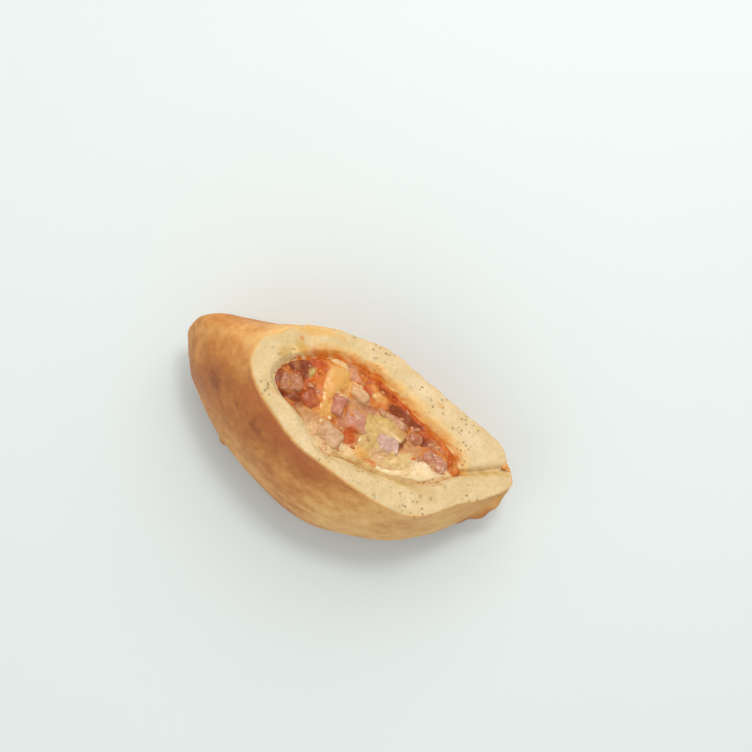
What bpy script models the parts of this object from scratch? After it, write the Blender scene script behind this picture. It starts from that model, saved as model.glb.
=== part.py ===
"""Half of a small baked calzone, cut across its fold and set down with its cut face turned up.

The model is in metres with +Z up. The lists of sizes below are millimetres, turned to metres by MM.
+X runs from the closed fold on the left to the sealed edge on the right, and the origin is on the
surface that the half rests on, under the middle of its box.

Places on the cut face use the face's own axes: u along it towards the sealed edge, v across it
towards the side that was baked on the tray, and w out of it.
"""

import bmesh
import bpy
import numpy as np

MM = 0.001
GAP = 0.4
HAM_ROOM = 0.6

# Where the middle of the whole falls in the sizes below. It is taken off every point.
BOX_MIDDLE = np.array([-1.0, -0.1, 0.0])

# The cut face: a flat cut through the half, higher at the fold than at the sealed edge.
CUT_CENTRE = np.array([14.1, 6.5, 55.0])
CUT_TILT = np.radians(28.0)
CUT_LEAN = np.radians(28.0)
CUT_TURN = np.radians(-27.5)

# The face of the cut: where its crust edge runs, and where its filling starts.
CRUST_EDGE = [
    (-63.5, -9.4), (-62.5, -1.0), (-57.0, 5.5), (-51.0, 13.3), (-37.6, 20.4), (-24.6, 24.3),
    (-10.0, 27.2), (2.0, 26.2), (19.3, 23.9), (37.0, 21.7), (52.0, 20.3), (58.5, 17.4),
    (61.9, 13.7), (62.5, 11.2), (65.6, 10.4), (68.0, 5.0), (61.8, -4.5), (49.0, -16.8), (40.0, -27.2),
    (30.3, -34.0), (18.0, -36.0), (4.6, -36.1), (-11.7, -35.1), (-26.9, -33.8), (-40.0, -29.0),
    (-51.7, -23.3), (-60.6, -16.0),
]
POCKET_EDGE = [
    (-49.3, -12.0), (-48.3, -6.5), (-44.6, -0.6), (-32.3, 8.4), (-22.0, 13.2), (-12.0, 14.4),
    (-0.7, 12.2), (11.3, 9.5), (22.6, 7.2), (32.5, 5.6), (40.0, 2.0), (43.2, -3.0),
    (37.5, -11.0), (29.5, -17.0), (20.6, -21.2), (10.0, -24.2), (-3.5, -26.2), (-14.5, -28.9),
    (-21.0, -26.2), (-28.0, -22.4), (-36.0, -19.0), (-43.5, -17.2),
]
FACE_MIDDLE = np.array([-2.0, -7.0])
FACE_REACH = np.array([66.0, 31.0])
POCKET_DEPTH = 38.0
LIP_DROP = 2.2
LIP_ROUND = 4.5
CRUMB_SWELL = 0.9

# The waist: the widest line of the crust, as (x, y, z), from the right end round by the back.
WAIST = [
    (70.6, -25.0, 30.0), (68.6, -15.0, 27.0), (59.5, -6.5, 25.0), (45.5, 2.5, 23.0),
    (31.5, 13.0, 22.0), (19.5, 22.5, 22.0), (6.5, 31.5, 24.0), (-10.5, 39.5, 28.0),
    (-30.5, 45.0, 36.0), (-45.5, 48.3, 42.0), (-57.5, 50.4, 45.0), (-66.6, 48.6, 41.0),
    (-71.6, 43.0, 34.0), (-73.1, 34.0, 28.0), (-72.0, 24.0, 25.0), (-68.0, 13.5, 22.0),
    (-62.5, 0.5, 20.0), (-55.4, -10.6, 20.0), (-45.4, -22.4, 20.0), (-32.2, -35.0, 20.0),
    (-18.3, -44.2, 20.0), (-4.0, -48.6, 20.0), (11.0, -50.4, 20.0), (22.5, -50.6, 20.0),
    (36.0, -48.3, 20.0), (46.5, -44.2, 20.0), (57.0, -39.0, 21.0), (65.5, -33.0, 25.0),
]
WAIST_MIDDLE = np.array([-1.5, -1.0])
WAIST_REACH = np.array([70.0, 45.0])

# The flat that the half rests on, an oval under its weight, and the soft edge above it.
FOOT_MIDDLE = np.array([-9.0, -3.0])
FOOT_REACH = np.array([46.0, 24.0])
FOOT_EDGE_HEIGHT = 7.0
FOOT_EDGE_INSET = 0.33

# How the crust runs between the cut and the waist: a dome on the baked top, straight on the base.
DOME_FACTOR = 0.30
BASE_FACTOR = 0.46
BASE_SIDE = np.radians(75.0)

# The groove between the two lips of dough: it leaves the pocket at one angle round the face and
# meets the crust at another, and goes on as a notch in the crust.
GROOVE_FROM = np.radians(9.6)
GROOVE_TO = np.radians(31.0)
GROOVE_BEND = np.radians(50.0)
GROOVE_DEPTH = 3.0
GROOVE_WIDTH = 1.8
NOTCH_DEPTH = 1.4
NOTCH_WIDTH = np.radians(2.6)

# The sealed edge: a pinched ridge from that notch down and round near the foot. Each pair is an
# angle in degrees and a place down the crust, and one pinched corner stands out further.
SEAM_PATH = [
    (31.0, 0.0), (18.0, 0.7), (2.0, 1.6), (-20.0, 2.6), (-50.0, 2.95), (-110.0, 2.95),
    (-126.0, 2.85), (-136.0, 2.72), (-147.0, 2.85), (-165.0, 2.9), (-190.0, 2.3),
]
SEAM_HEIGHT = 2.6
SEAM_WIDTH = 0.30
SEAM_PINCHES = 34
SEAM_CORNER = -136.0
CORNER_HEIGHT = 0.7
CORNER_WIDTH = 3.5

# How fine the solids are.
COLUMNS = 112
SIDE_ROWS = (0.35, 0.75, 1.15, 1.55, 1.95, 2.3, 2.6, 2.8, 3.0, 3.2, 3.45, 3.7)
FACE_ROWS = (0.0, 0.07, 0.28, 0.56, 0.82, 1.0)
POCKET_ROWS = (0.12, 0.4, 0.7, 0.9)
CORE_TOP_ROWS = (0.94, 0.82, 0.67, 0.52, 0.37, 0.2)

# The ham: its cubes and strips, as (u, v, top above the cut, length, width, height, turn).
HAM = [
    (-41.7, -10.5, 0.6, 9.4, 9.0, 8.2, 24.0),
    (-30.8, -12.4, -0.1, 8.4, 8.0, 7.0, -24.0),
    (-18.3, 9.0, 0.3, 7.6, 6.0, 6.5, 14.0),
    (-13.8, 2.0, 1.1, 9.6, 7.0, 7.5, -10.0),
    (-19.0, -7.4, 1.6, 7.4, 9.4, 8.5, 16.0),
    (-8.4, -9.0, 1.5, 10.8, 10.2, 9.0, 12.0),
    (-15.8, -20.8, 0.7, 12.2, 8.6, 8.0, -12.0),
    (8.8, -10.6, 1.4, 11.2, 9.2, 8.5, 20.0),
    (5.8, 1.0, 0.6, 15.6, 4.6, 6.0, -6.0),
    (19.2, -0.9, 0.3, 8.4, 6.2, 6.5, 10.0),
    (31.3, -4.2, 0.8, 12.8, 8.4, 8.0, -4.0),
]
HAM_ROUND = 1.8
HAM_UNEVEN = 1.0

# The melted cheese: a path on the face with (u, v, width, thickness, top above the cut).
CHEESE = [
    [(-27.0, 9.6, 8.4, 2.6, -0.4), (-25.6, 4.5, 10.4, 3.4, 0.9), (-26.0, -2.5, 9.0, 3.4, 1.1),
     (-25.2, -9.0, 5.4, 3.0, 0.6), (-24.2, -15.2, 4.6, 2.4, -0.2)],
    [(-2.6, -21.6, 6.4, 2.6, -0.3), (-1.0, -14.6, 7.4, 3.4, 0.7), (0.4, -7.6, 5.8, 3.4, 0.9),
     (5.0, -3.6, 4.0, 3.0, 0.8), (12.6, -3.7, 4.0, 2.6, 0.3)],
    [(-8.6, 6.9, 4.0, 2.6, 0.0), (-4.0, 5.7, 4.4, 3.4, 0.8), (1.6, 5.3, 3.2, 2.4, 0.1)],
    [(4.6, -17.9, 3.4, 2.4, -0.2), (12.0, -17.0, 3.6, 3.0, 0.6), (18.4, -11.6, 5.6, 3.0, 0.6),
     (21.6, -7.6, 4.2, 2.4, 0.0)],
    [(5.6, -21.9, 2.6, 2.0, -0.9), (15.0, -20.7, 2.8, 2.6, -0.2), (24.0, -16.2, 4.4, 3.0, 0.2),
     (32.0, -11.2, 4.6, 2.8, 0.1), (38.6, -6.0, 3.2, 2.2, -0.6)],
]
CHEESE_STATIONS = 11
CHEESE_SIDES = 10

# The sauce: its level below the cut, its trough by the tray side, and its lumps (u, v, height, width).
SAUCE_LEVEL = -2.3
SAUCE_INSET = 0.5
SAUCE_LIFT = 1.0
SAUCE_LUMP_WIDTH = 1.9
SAUCE_LUMPS = [
    (-33.4, -5.4, 2.2), (-36.8, -2.0, 2.0), (-32.0, 1.0, 2.2), (-7.4, -17.4, 2.4),
    (-3.6, -23.0, 1.8), (22.6, 3.6, 2.0), (26.6, 3.4, 1.8), (38.6, -0.6, 2.2),
    (-9.8, 10.4, 1.7), (-37.0, -14.6, 1.5), (13.0, 4.6, 0.8), (-31.4, -17.6, 1.6),
]

COLOURS = {
    "crust": ((0.60, 0.31, 0.115), 0.55),
    "ham": ((0.62, 0.26, 0.19), 0.35),
    "cheese": ((0.86, 0.62, 0.30), 0.30),
    "sauce": ((0.55, 0.12, 0.03), 0.30),
}


def face_axes():
    """The cut face's axes u, v and w, as the rows of a matrix."""
    w = np.array([
        np.sin(CUT_TILT) * np.cos(CUT_LEAN),
        np.sin(CUT_TILT) * np.sin(CUT_LEAN),
        np.cos(CUT_TILT),
    ])
    along = np.array([np.cos(CUT_TURN), np.sin(CUT_TURN), 0.0])
    u = along - w * (along @ w)
    u = u / np.linalg.norm(u)
    return np.array([u, np.cross(w, u), w])


AXES = face_axes()


def from_face(places):
    """Points of the part from (u, v, w) on the cut face, in millimetres."""
    return CUT_CENTRE + np.asarray(places, float) @ AXES


def in_metres(point):
    """A point of the sizes above as one of the model."""
    return [float(c) for c in (np.asarray(point) - BOX_MIDDLE) * MM]


def columns():
    """The angles of the columns round the face: even, but closer together at the groove."""
    away = np.linspace(-np.pi, np.pi, COLUMNS, endpoint=False)
    return GROOVE_TO + away * (1 - 0.6 * np.exp(-(away / 0.25) ** 2))


def at_mouth(angles):
    """The angles where the same columns meet the pocket, drawn along with the groove."""
    away = (angles - GROOVE_TO + np.pi) % (2 * np.pi) - np.pi
    return angles - (GROOVE_TO - GROOVE_FROM) * np.exp(-(away / GROOVE_BEND) ** 2)


def smooth_loop(points, per_span=16):
    """Points along a closed smooth curve through the given ones."""
    given = np.array(points, float)
    t = np.linspace(0.0, 1.0, per_span, endpoint=False)[:, None]
    spans = []
    for i in range(len(given)):
        a, b, c, d = (given[(i + k - 1) % len(given)] for k in range(4))
        spans.append(
            b + 0.5 * t * (c - a + t * (2 * a - 5 * b + 4 * c - d + t * (3 * b - a - 3 * c + d)))
        )
    return np.concatenate(spans)


def smooth_path(points, count):
    """The given rows blended into count rows along an open smooth curve."""
    given = np.array(points, float)
    given = np.vstack([2 * given[0] - given[1], given, 2 * given[-1] - given[-2]])
    rows = []
    for place in np.linspace(0.0, len(given) - 3.0, count):
        i = min(int(place), len(given) - 4)
        t = place - i
        a, b, c, d = given[i:i + 4]
        rows.append(
            b + 0.5 * t * (c - a + t * (2 * a - 5 * b + 4 * c - d + t * (3 * b - a - 3 * c + d)))
        )
    return np.array(rows)


def loop_at(points, middle, reach, turn, angles):
    """The closed curve's rows at these angles round its middle, with its long shape evened out."""
    curve = smooth_loop(points)
    away = curve[:, :2] - middle
    along = away @ np.array([np.cos(turn), np.sin(turn)])
    across = away @ np.array([-np.sin(turn), np.cos(turn)])
    angle = np.arctan2(across / reach[1], along / reach[0])
    return np.stack(
        [np.interp(angles, angle, column, period=2 * np.pi) for column in curve.T], axis=1
    )


def smooth_step(low, high, value):
    t = np.clip((value - low) / (high - low), 0.0, 1.0)
    return t * t * (3 - 2 * t)


def bumps(points, size, seed):
    """Soft noise from -1 to 1 at these points, with bumps about this far apart."""
    place = np.asarray(points, float) / size + seed * 17.31
    low = np.floor(place).astype(int)
    part = place - low
    part = part * part * (3 - 2 * part)
    total = np.zeros(place.shape[:-1])
    for corner in range(8):
        step = np.array([corner & 1, corner >> 1 & 1, corner >> 2])
        cell = low + step
        mixed = (cell[..., 0] * 73856093 ^ cell[..., 1] * 19349663 ^ cell[..., 2] * 83492791) & 0xFFFFFF
        mixed = (mixed * 1103515245 + 12345) & 0x7FFFFFFF
        value = (mixed >> 8 & 0xFFFF) / 32767.5 - 1.0
        total += value * np.prod(np.where(step == 1, part, 1 - part), axis=-1)
    return total


def face_relief(places, share, inward, from_groove):
    """How far the crumb stands out of the cut at these places.

    share runs from the crust to the pocket, inward is the distance to the pocket, and from_groove
    the distance to the groove.
    """
    flat = np.concatenate([places, np.zeros(places.shape[:-1] + (1,))], axis=-1)
    swell = CRUMB_SWELL * smooth_step(0.0, 5.0, inward) * (1 + 0.5 * bumps(flat, 11.0, 3))
    drop = LIP_DROP * (1 - smooth_step(0.0, LIP_ROUND, inward))
    groove = GROOVE_DEPTH * np.exp(-(from_groove / GROOVE_WIDTH) ** 2)
    return (swell - drop) * smooth_step(-0.05, 0.07, share) - groove


def crust_rows(angles):
    """The crust's rings of points from just below the cut edge down to the foot."""
    edge = from_face(np.column_stack([
        loop_at(CRUST_EDGE, FACE_MIDDLE, FACE_REACH, 0.0, angles), np.zeros(len(angles))]))
    waist = loop_at(WAIST, WAIST_MIDDLE, WAIST_REACH, CUT_TURN, angles)
    along = np.array([np.cos(CUT_TURN), np.sin(CUT_TURN)])
    across = np.array([-np.sin(CUT_TURN), np.cos(CUT_TURN)])
    foot = np.zeros((len(angles), 3))
    foot[:, :2] = (FOOT_MIDDLE + np.outer(np.cos(angles) * FOOT_REACH[0], along)
                   + np.outer(np.sin(angles) * FOOT_REACH[1], across))
    base_side = (0.5 + 0.5 * np.cos(angles - BASE_SIDE)) ** 2
    factor = (DOME_FACTOR + (BASE_FACTOR - DOME_FACTOR) * base_side)[:, None]
    shoulder = 0.5 * (edge + waist)
    shoulder[:, :2] = waist[:, :2] + (edge[:, :2] - waist[:, :2]) * factor
    low = waist + (foot - waist) * FOOT_EDGE_INSET
    low[:, 2] = FOOT_EDGE_HEIGHT
    beyond = foot + (foot - low) * np.array([0.6, 0.6, 0.0])
    keys = [2 * edge - shoulder, edge, shoulder, waist, low, foot, beyond]
    rows = []
    for place in (0.0, *SIDE_ROWS, 4.0):
        i = min(int(place), 3)
        t = place - i
        a, b, c, d = keys[i:i + 4]
        row = b + 0.5 * t * (c - a + t * (2 * a - 5 * b + 4 * c - d + t * (3 * b - a - 3 * c + d)))
        rows.append((place, row))
    return rows


def outward(rows):
    """Unit directions out of a grid of rings, away from the solid."""
    grid = np.array(rows)
    round_it = np.roll(grid, -1, axis=1) - np.roll(grid, 1, axis=1)
    down_it = np.gradient(grid, axis=0)
    normal = np.cross(down_it, round_it)
    return normal / np.maximum(np.linalg.norm(normal, axis=2, keepdims=True), 1e-9)


def seam_relief(angles, place):
    """How far the sealed edge stands out of the crust in one ring."""
    turned = (np.degrees(angles) + 200.0) % 360.0 - 200.0
    path = np.array(SEAM_PATH[::-1])
    centre = np.interp(turned, path[:, 0], path[:, 1])
    ends = smooth_step(-198.0, -180.0, turned) * (1 - smooth_step(-6.0, 15.0, turned))
    pinch = 1 + 0.35 * np.sin(angles * SEAM_PINCHES) * smooth_step(1.2, 2.4, centre)
    ridge = np.exp(-((place - centre) / SEAM_WIDTH) ** 2)
    crease = 0.35 * np.exp(-((place - centre + 2.1 * SEAM_WIDTH) / SEAM_WIDTH) ** 2)
    corner = CORNER_HEIGHT * np.exp(-((turned - SEAM_CORNER) / CORNER_WIDTH) ** 2)
    away = (angles - GROOVE_TO + np.pi) % (2 * np.pi) - np.pi
    notch = np.exp(-(away / NOTCH_WIDTH) ** 2) * (1 - smooth_step(0.2, 0.9, place))
    notch = notch * smooth_step(-0.06, 0.2, place)
    return SEAM_HEIGHT * ends * (ridge * pinch - crease) + corner * ridge - NOTCH_DEPTH * notch


def crust_relief(points):
    """Low bulges of the baked crust."""
    return 0.55 * bumps(points, 21.0, 1) + 0.25 * bumps(points, 8.0, 2)


def mesh_from_rings(name, rings, first_cap, last_cap):
    """A closed mesh from rings of points, outer side by the right hand from first to last."""
    made = bmesh.new()
    grid = [[made.verts.new(in_metres(p)) for p in ring] for ring in rings]
    count = len(grid[0])
    for upper, lower in zip(grid[:-1], grid[1:]):
        for i in range(count):
            j = (i + 1) % count
            made.faces.new((upper[i], lower[i], lower[j], upper[j]))
    for ring, point, turned in ((grid[0], first_cap, True), (grid[-1], last_cap, False)):
        if point is None:
            made.faces.new(ring if turned else ring[::-1])
            continue
        pole = made.verts.new(in_metres(point))
        for i in range(count):
            corners = (ring[i], ring[(i + 1) % count], pole)
            made.faces.new(corners if turned else corners[::-1])
    bmesh.ops.recalc_face_normals(made, faces=made.faces)
    mesh = bpy.data.meshes.new(name)
    made.to_mesh(mesh)
    made.free()
    return mesh


def add_object(name, mesh, material):
    mesh.materials.append(material)
    mesh.shade_smooth()
    mesh.set_sharp_from_angle(angle=np.radians(50.0))
    obj = bpy.data.objects.new(name, mesh)
    bpy.context.scene.collection.objects.link(obj)
    return obj


def pocket_depths():
    return [LIP_DROP + (POCKET_DEPTH - LIP_DROP) * share for share in POCKET_ROWS]


def pocket_ring(angles, depth, inset):
    """The pocket's wall at one depth below the cut, moved in by inset."""
    edge = loop_at(POCKET_EDGE, FACE_MIDDLE, FACE_REACH, 0.0, at_mouth(angles))
    away = (edge - FACE_MIDDLE) * np.sqrt(1 - (depth / POCKET_DEPTH) ** 3)
    places = FACE_MIDDLE + away * (1 - inset / np.linalg.norm(away, axis=1, keepdims=True))
    return np.column_stack([places, np.full(len(angles), -depth)])


def core_ring(depth):
    """The sauce's side at one depth: every second column of the pocket, clear of the ones between."""
    angles = columns()
    whole = pocket_ring(angles, depth, 0.0)[:, :2] - FACE_MIDDLE
    kept = whole[::2]
    middle = 0.5 * (kept + np.roll(kept, -1, axis=0))
    nearer = np.linalg.norm(middle, axis=1) - np.linalg.norm(whole[1::2], axis=1)
    nearer = np.maximum(nearer, 0.0)
    inset = SAUCE_INSET + np.maximum(nearer, np.roll(nearer, 1))
    ring = pocket_ring(angles[::2], depth, inset[:, None])
    ring[:, 2] += SAUCE_LIFT * (depth / POCKET_DEPTH) ** 2
    return ring


def make_dough(material):
    """The bread: crust outside, foot below, crumb on the cut face, and the pocket in it."""
    angles = columns()
    crust = crust_rows(angles)
    rows = [row for _, row in crust]
    out = outward(rows[::-1])[::-1]
    side = []
    for (place, row), normal in zip(crust, out):
        fade = smooth_step(0.0, 0.6, place) * (1 - smooth_step(3.4, 3.9, place))
        amount = crust_relief(row) * fade + seam_relief(angles, place) * (1 - smooth_step(3.5, 3.9, place))
        moved = row + normal * amount[:, None]
        moved[:, 2] = np.maximum(moved[:, 2], 0.0)
        side.append(moved)
    edge = loop_at(CRUST_EDGE, FACE_MIDDLE, FACE_REACH, 0.0, angles)
    mouth = loop_at(POCKET_EDGE, FACE_MIDDLE, FACE_REACH, 0.0, at_mouth(angles))
    groove = np.argmin(np.abs(angles - GROOVE_TO))
    face = []
    for share in FACE_ROWS:
        places = edge + (mouth - edge) * share
        inward = np.linalg.norm(places - mouth, axis=1)
        relief = face_relief(places, share, inward, np.linalg.norm(places - places[groove], axis=1))
        face.append(from_face(np.column_stack([places, relief])))
    side[0] = face[0]
    pocket = [from_face(pocket_ring(angles, depth, 0.0)) for depth in pocket_depths()]
    floor = from_face([*FACE_MIDDLE, -POCKET_DEPTH])
    rings = [*side[::-1], *face[1:], *pocket]
    mesh = mesh_from_rings("dough", rings, None, floor)
    return add_object("dough", mesh, material)


def sauce_top(places):
    """The sauce's height at these places of the face."""
    flat = np.concatenate([places, np.zeros(places.shape[:-1] + (1,))], axis=-1)
    height = SAUCE_LEVEL + 0.5 * bumps(flat, 6.0, 5) + 0.3 * bumps(flat, 3.0, 6)
    for u, v, rise in SAUCE_LUMPS:
        away = np.linalg.norm(places - np.array([u, v]), axis=-1)
        height = height + rise * np.exp(-(away / SAUCE_LUMP_WIDTH) ** 2)
    return height


def make_sauce(material):
    """The sauce: it fills the pocket, and its top is lumpy."""
    depths = [LIP_DROP + 1.2, *pocket_depths()]
    wall = [from_face(core_ring(depth)) for depth in depths[::-1]]
    rim = core_ring(depths[0])[:, :2]
    top = []
    for share in CORE_TOP_ROWS:
        places = FACE_MIDDLE + (rim - FACE_MIDDLE) * share
        top.append(from_face(np.column_stack([places, sauce_top(places)])))
    floor = from_face([*FACE_MIDDLE, SAUCE_LIFT - POCKET_DEPTH])
    centre = from_face([*FACE_MIDDLE, float(sauce_top(FACE_MIDDLE[None])[0])])
    mesh = mesh_from_rings("sauce", [*wall, *top], floor, centre)
    return add_object("sauce", mesh, material)


def ham_mesh(name, piece, grown):
    """One cut of ham: a box with rounded edges, a little uneven, grown all round by grown."""
    u, v, top, length, width, height, turn = piece
    made = bmesh.new()
    bmesh.ops.create_cube(made, size=1.0)
    for vert in made.verts:
        vert.co = [float(c) for c in np.array(vert.co) * (length, width, height)]
    bmesh.ops.bevel(made, geom=made.edges[:], offset=HAM_ROUND, segments=2, profile=0.5,
                    affect="EDGES", clamp_overlap=True)
    c, s = np.cos(np.radians(turn)), np.sin(np.radians(turn))
    for vert in made.verts:
        x, y, z = vert.co
        lean = 0.05 * z
        place = np.array([u + c * x - s * y + lean, v + s * x + c * y - lean, top - height / 2 + z])
        uneven = [bumps(place, 6.0, seed) for seed in (11, 12, 13)]
        vert.co = in_metres(from_face(place + HAM_UNEVEN * np.array(uneven)))
    bmesh.ops.recalc_face_normals(made, faces=made.faces)
    made.normal_update()
    for vert in made.verts:
        vert.co += vert.normal * grown * MM
    mesh = bpy.data.meshes.new(name)
    made.to_mesh(mesh)
    made.free()
    return mesh


def cheese_mesh(name, path, grown):
    """A tongue of melted cheese along its path, with flat sides rounded over, grown by grown."""
    stations = smooth_path(path, CHEESE_STATIONS)
    angles = np.linspace(0.0, 2 * np.pi, CHEESE_SIDES, endpoint=False)
    heading = np.gradient(stations[:, :2], axis=0)
    heading = heading / np.linalg.norm(heading, axis=1, keepdims=True)
    across = np.column_stack([-heading[:, 1], heading[:, 0]])
    rings = []
    last = len(stations) - 1
    for i, (u, v, width, thick, top) in enumerate(stations):
        end = np.sqrt(max(0.0, 1 - ((2 * i / last - 1) * 0.93) ** 6))
        side = (width / 2 * end + grown) * np.sign(np.cos(angles)) * np.abs(np.cos(angles)) ** 0.8
        rise = (thick / 2 * end + grown) * np.sign(np.sin(angles)) * np.abs(np.sin(angles)) ** 0.8
        shift = heading[i] * grown * (1 if i == last else -1 if i == 0 else 0)
        places = np.column_stack([
            u + shift[0] + across[i, 0] * side, v + shift[1] + across[i, 1] * side,
            top - thick / 2 + rise])
        rings.append(from_face(places))
    ends = [from_face([*(stations[i, :2] + heading[i] * sign * (0.5 + grown)),
                       stations[i, 4] - stations[i, 3] / 2]) for i, sign in ((0, -1), (last, 1))]
    return mesh_from_rings(name, rings, *ends)


def cut_away(obj, meshes):
    """Takes the meshes out of the object by one Boolean each, applied."""
    for mesh in meshes:
        cutter = bpy.data.objects.new("cutter", mesh)
        bpy.context.scene.collection.objects.link(cutter)
        cut = obj.modifiers.new("cut", "BOOLEAN")
        cut.operation = "DIFFERENCE"
        cut.solver = "EXACT"
        cut.object = cutter
        bpy.context.view_layer.update()
        graph = bpy.context.evaluated_depsgraph_get()
        result = bpy.data.meshes.new_from_object(obj.evaluated_get(graph))
        obj.modifiers.clear()
        obj.data = result
        bpy.data.objects.remove(cutter)


def keep_whole(obj):
    """Drops the crumbs that the cuts leave loose, and keeps the one large body."""
    made = bmesh.new()
    made.from_mesh(obj.data)
    left = set(made.verts)
    bodies = []
    while left:
        body = {left.pop()}
        edge = set(body)
        while edge:
            edge = {link.other_vert(vert) for vert in edge for link in vert.link_edges} - body
            body |= edge
        left -= body
        bodies.append(body)
    whole = max(bodies, key=len)
    bmesh.ops.delete(made, geom=[vert for vert in made.verts if vert not in whole], context="VERTS")
    made.to_mesh(obj.data)
    made.free()


def make_material(name):
    colour, roughness = COLOURS[name]
    material = bpy.data.materials.new(name)
    material.use_nodes = True
    shader = material.node_tree.nodes["Principled BSDF"]
    shader.inputs["Base Color"].default_value = (*colour, 1.0)
    shader.inputs["Roughness"].default_value = roughness
    shader.inputs["Metallic"].default_value = 0.0
    material.diffuse_color = (*colour, 1.0)
    return material


def main():
    for obj in list(bpy.data.objects):
        bpy.data.objects.remove(obj)
    materials = {name: make_material(name) for name in COLOURS}
    make_dough(materials["crust"])
    sauce = make_sauce(materials["sauce"])
    for i, piece in enumerate(HAM, 1):
        add_object(f"ham_{i}", ham_mesh(f"ham_{i}", piece, 0.0), materials["ham"])
    ham_room = [ham_mesh("room", piece, HAM_ROOM) for piece in HAM]
    for i, path in enumerate(CHEESE, 1):
        cheese = add_object(f"cheese_{i}", cheese_mesh(f"cheese_{i}", path, 0.0), materials["cheese"])
        cut_away(cheese, [mesh.copy() for mesh in ham_room])
    cut_away(sauce, [cheese_mesh("room", path, GAP) for path in CHEESE] + ham_room)
    keep_whole(sauce)


main()
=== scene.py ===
"""Half of a small baked calzone, cut across its fold, lying with its cut face turned up.

Sizes in the lists are millimetres, as in the model. Places on the cut face use its own axes:
u along it towards the sealed edge, v across it towards the side baked on the tray, w out of it.
"""

import bmesh
import bpy
import numpy as np
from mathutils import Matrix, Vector


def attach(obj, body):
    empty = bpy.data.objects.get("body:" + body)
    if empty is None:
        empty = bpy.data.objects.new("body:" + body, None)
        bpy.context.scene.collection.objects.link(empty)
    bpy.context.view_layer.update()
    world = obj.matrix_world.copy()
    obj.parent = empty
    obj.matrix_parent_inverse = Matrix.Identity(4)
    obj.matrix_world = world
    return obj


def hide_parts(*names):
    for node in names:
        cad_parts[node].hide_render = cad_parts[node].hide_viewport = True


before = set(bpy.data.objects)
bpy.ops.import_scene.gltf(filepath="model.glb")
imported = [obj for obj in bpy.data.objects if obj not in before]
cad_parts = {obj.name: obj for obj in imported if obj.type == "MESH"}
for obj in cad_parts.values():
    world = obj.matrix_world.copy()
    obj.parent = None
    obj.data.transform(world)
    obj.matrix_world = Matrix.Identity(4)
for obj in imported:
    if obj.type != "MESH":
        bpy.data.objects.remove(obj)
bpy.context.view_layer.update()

MM = 0.001
BOX_MIDDLE = np.array([-1.0, -0.1, 0.0])

# The cut face, its crust edge and the edge of the pocket in it.
CUT_CENTRE = np.array([14.1, 6.5, 55.0])
CUT_TILT = np.radians(28.0)
CUT_LEAN = np.radians(28.0)
CUT_TURN = np.radians(-27.5)
CRUST_EDGE = [
    (-63.5, -9.4), (-62.5, -1), (-57, 5.5), (-51, 13.3), (-37.6, 20.4), (-24.6, 24.3), (-10, 27.2),
    (2, 26.2), (19.3, 23.9), (37, 21.7), (52, 20.3), (58.5, 17.4), (61.9, 13.7), (62.5, 11.2),
    (65.6, 10.4), (68, 5), (61.8, -4.5), (49, -16.8), (40, -27.2), (30.3, -34), (18, -36),
    (4.6, -36.1), (-11.7, -35.1), (-26.9, -33.8), (-40, -29), (-51.7, -23.3), (-60.6, -16),
]
POCKET_EDGE = [
    (-49.3, -12), (-48.3, -6.5), (-44.6, -0.6), (-32.3, 8.4), (-22, 13.2), (-12, 14.4),
    (-0.7, 12.2), (11.3, 9.5), (22.6, 7.2), (32.5, 5.6), (40, 2), (43.2, -3), (37.5, -11),
    (29.5, -17), (20.6, -21.2), (10, -24.2), (-3.5, -26.2), (-14.5, -28.9), (-21, -26.2),
    (-28, -22.4), (-36, -19), (-43.5, -17.2),
]
FACE_MIDDLE = np.array([-2.0, -7.0])
FACE_REACH = np.array([66.0, 31.0])
POCKET_DEPTH = 38.0
LIP_DROP = 2.2
LIP_ROUND = 4.5
CRUMB_SWELL = 0.9

# The waist of the crust and the foot under it.
WAIST = [
    (70.6, -25, 30), (68.6, -15, 27), (59.5, -6.5, 25), (45.5, 2.5, 23), (31.5, 13, 22),
    (19.5, 22.5, 22), (6.5, 31.5, 24), (-10.5, 39.5, 28), (-30.5, 45, 36), (-45.5, 48.3, 42),
    (-57.5, 50.4, 45), (-66.6, 48.6, 41), (-71.6, 43, 34), (-73.1, 34, 28), (-72, 24, 25),
    (-68, 13.5, 22), (-62.5, 0.5, 20), (-55.4, -10.6, 20), (-45.4, -22.4, 20), (-32.2, -35, 20),
    (-18.3, -44.2, 20), (-4, -48.6, 20), (11, -50.4, 20), (22.5, -50.6, 20), (36, -48.3, 20),
    (46.5, -44.2, 20), (57, -39, 21), (65.5, -33, 25),
]
WAIST_MIDDLE = np.array([-1.5, -1.0])
WAIST_REACH = np.array([70.0, 45.0])
FOOT_MIDDLE = np.array([-9.0, -3.0])
FOOT_REACH = np.array([46.0, 24.0])
FOOT_EDGE_HEIGHT = 7.0
FOOT_EDGE_INSET = 0.33
DOME_FACTOR = 0.30
BASE_FACTOR = 0.46
BASE_SIDE = np.radians(75.0)

# The groove between the two lips, and the pinched sealed edge.
GROOVE_FROM = np.radians(9.6)
GROOVE_TO = np.radians(31.0)
GROOVE_BEND = np.radians(50.0)
GROOVE_DEPTH = 3.0
GROOVE_WIDTH = 1.8
NOTCH_DEPTH = 1.4
NOTCH_WIDTH = np.radians(2.6)
SEAM_PATH = [
    (31, 0), (18, 0.7), (2, 1.6), (-20, 2.6), (-50, 2.95), (-110, 2.95), (-126, 2.85), (-136, 2.72),
    (-147, 2.85), (-165, 2.9), (-190, 2.3),
]
SEAM_HEIGHT = 2.6
SEAM_WIDTH = 0.30
SEAM_PINCHES = 34
SEAM_CORNER = -136.0
CORNER_HEIGHT = 0.7
CORNER_WIDTH = 3.5

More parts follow.
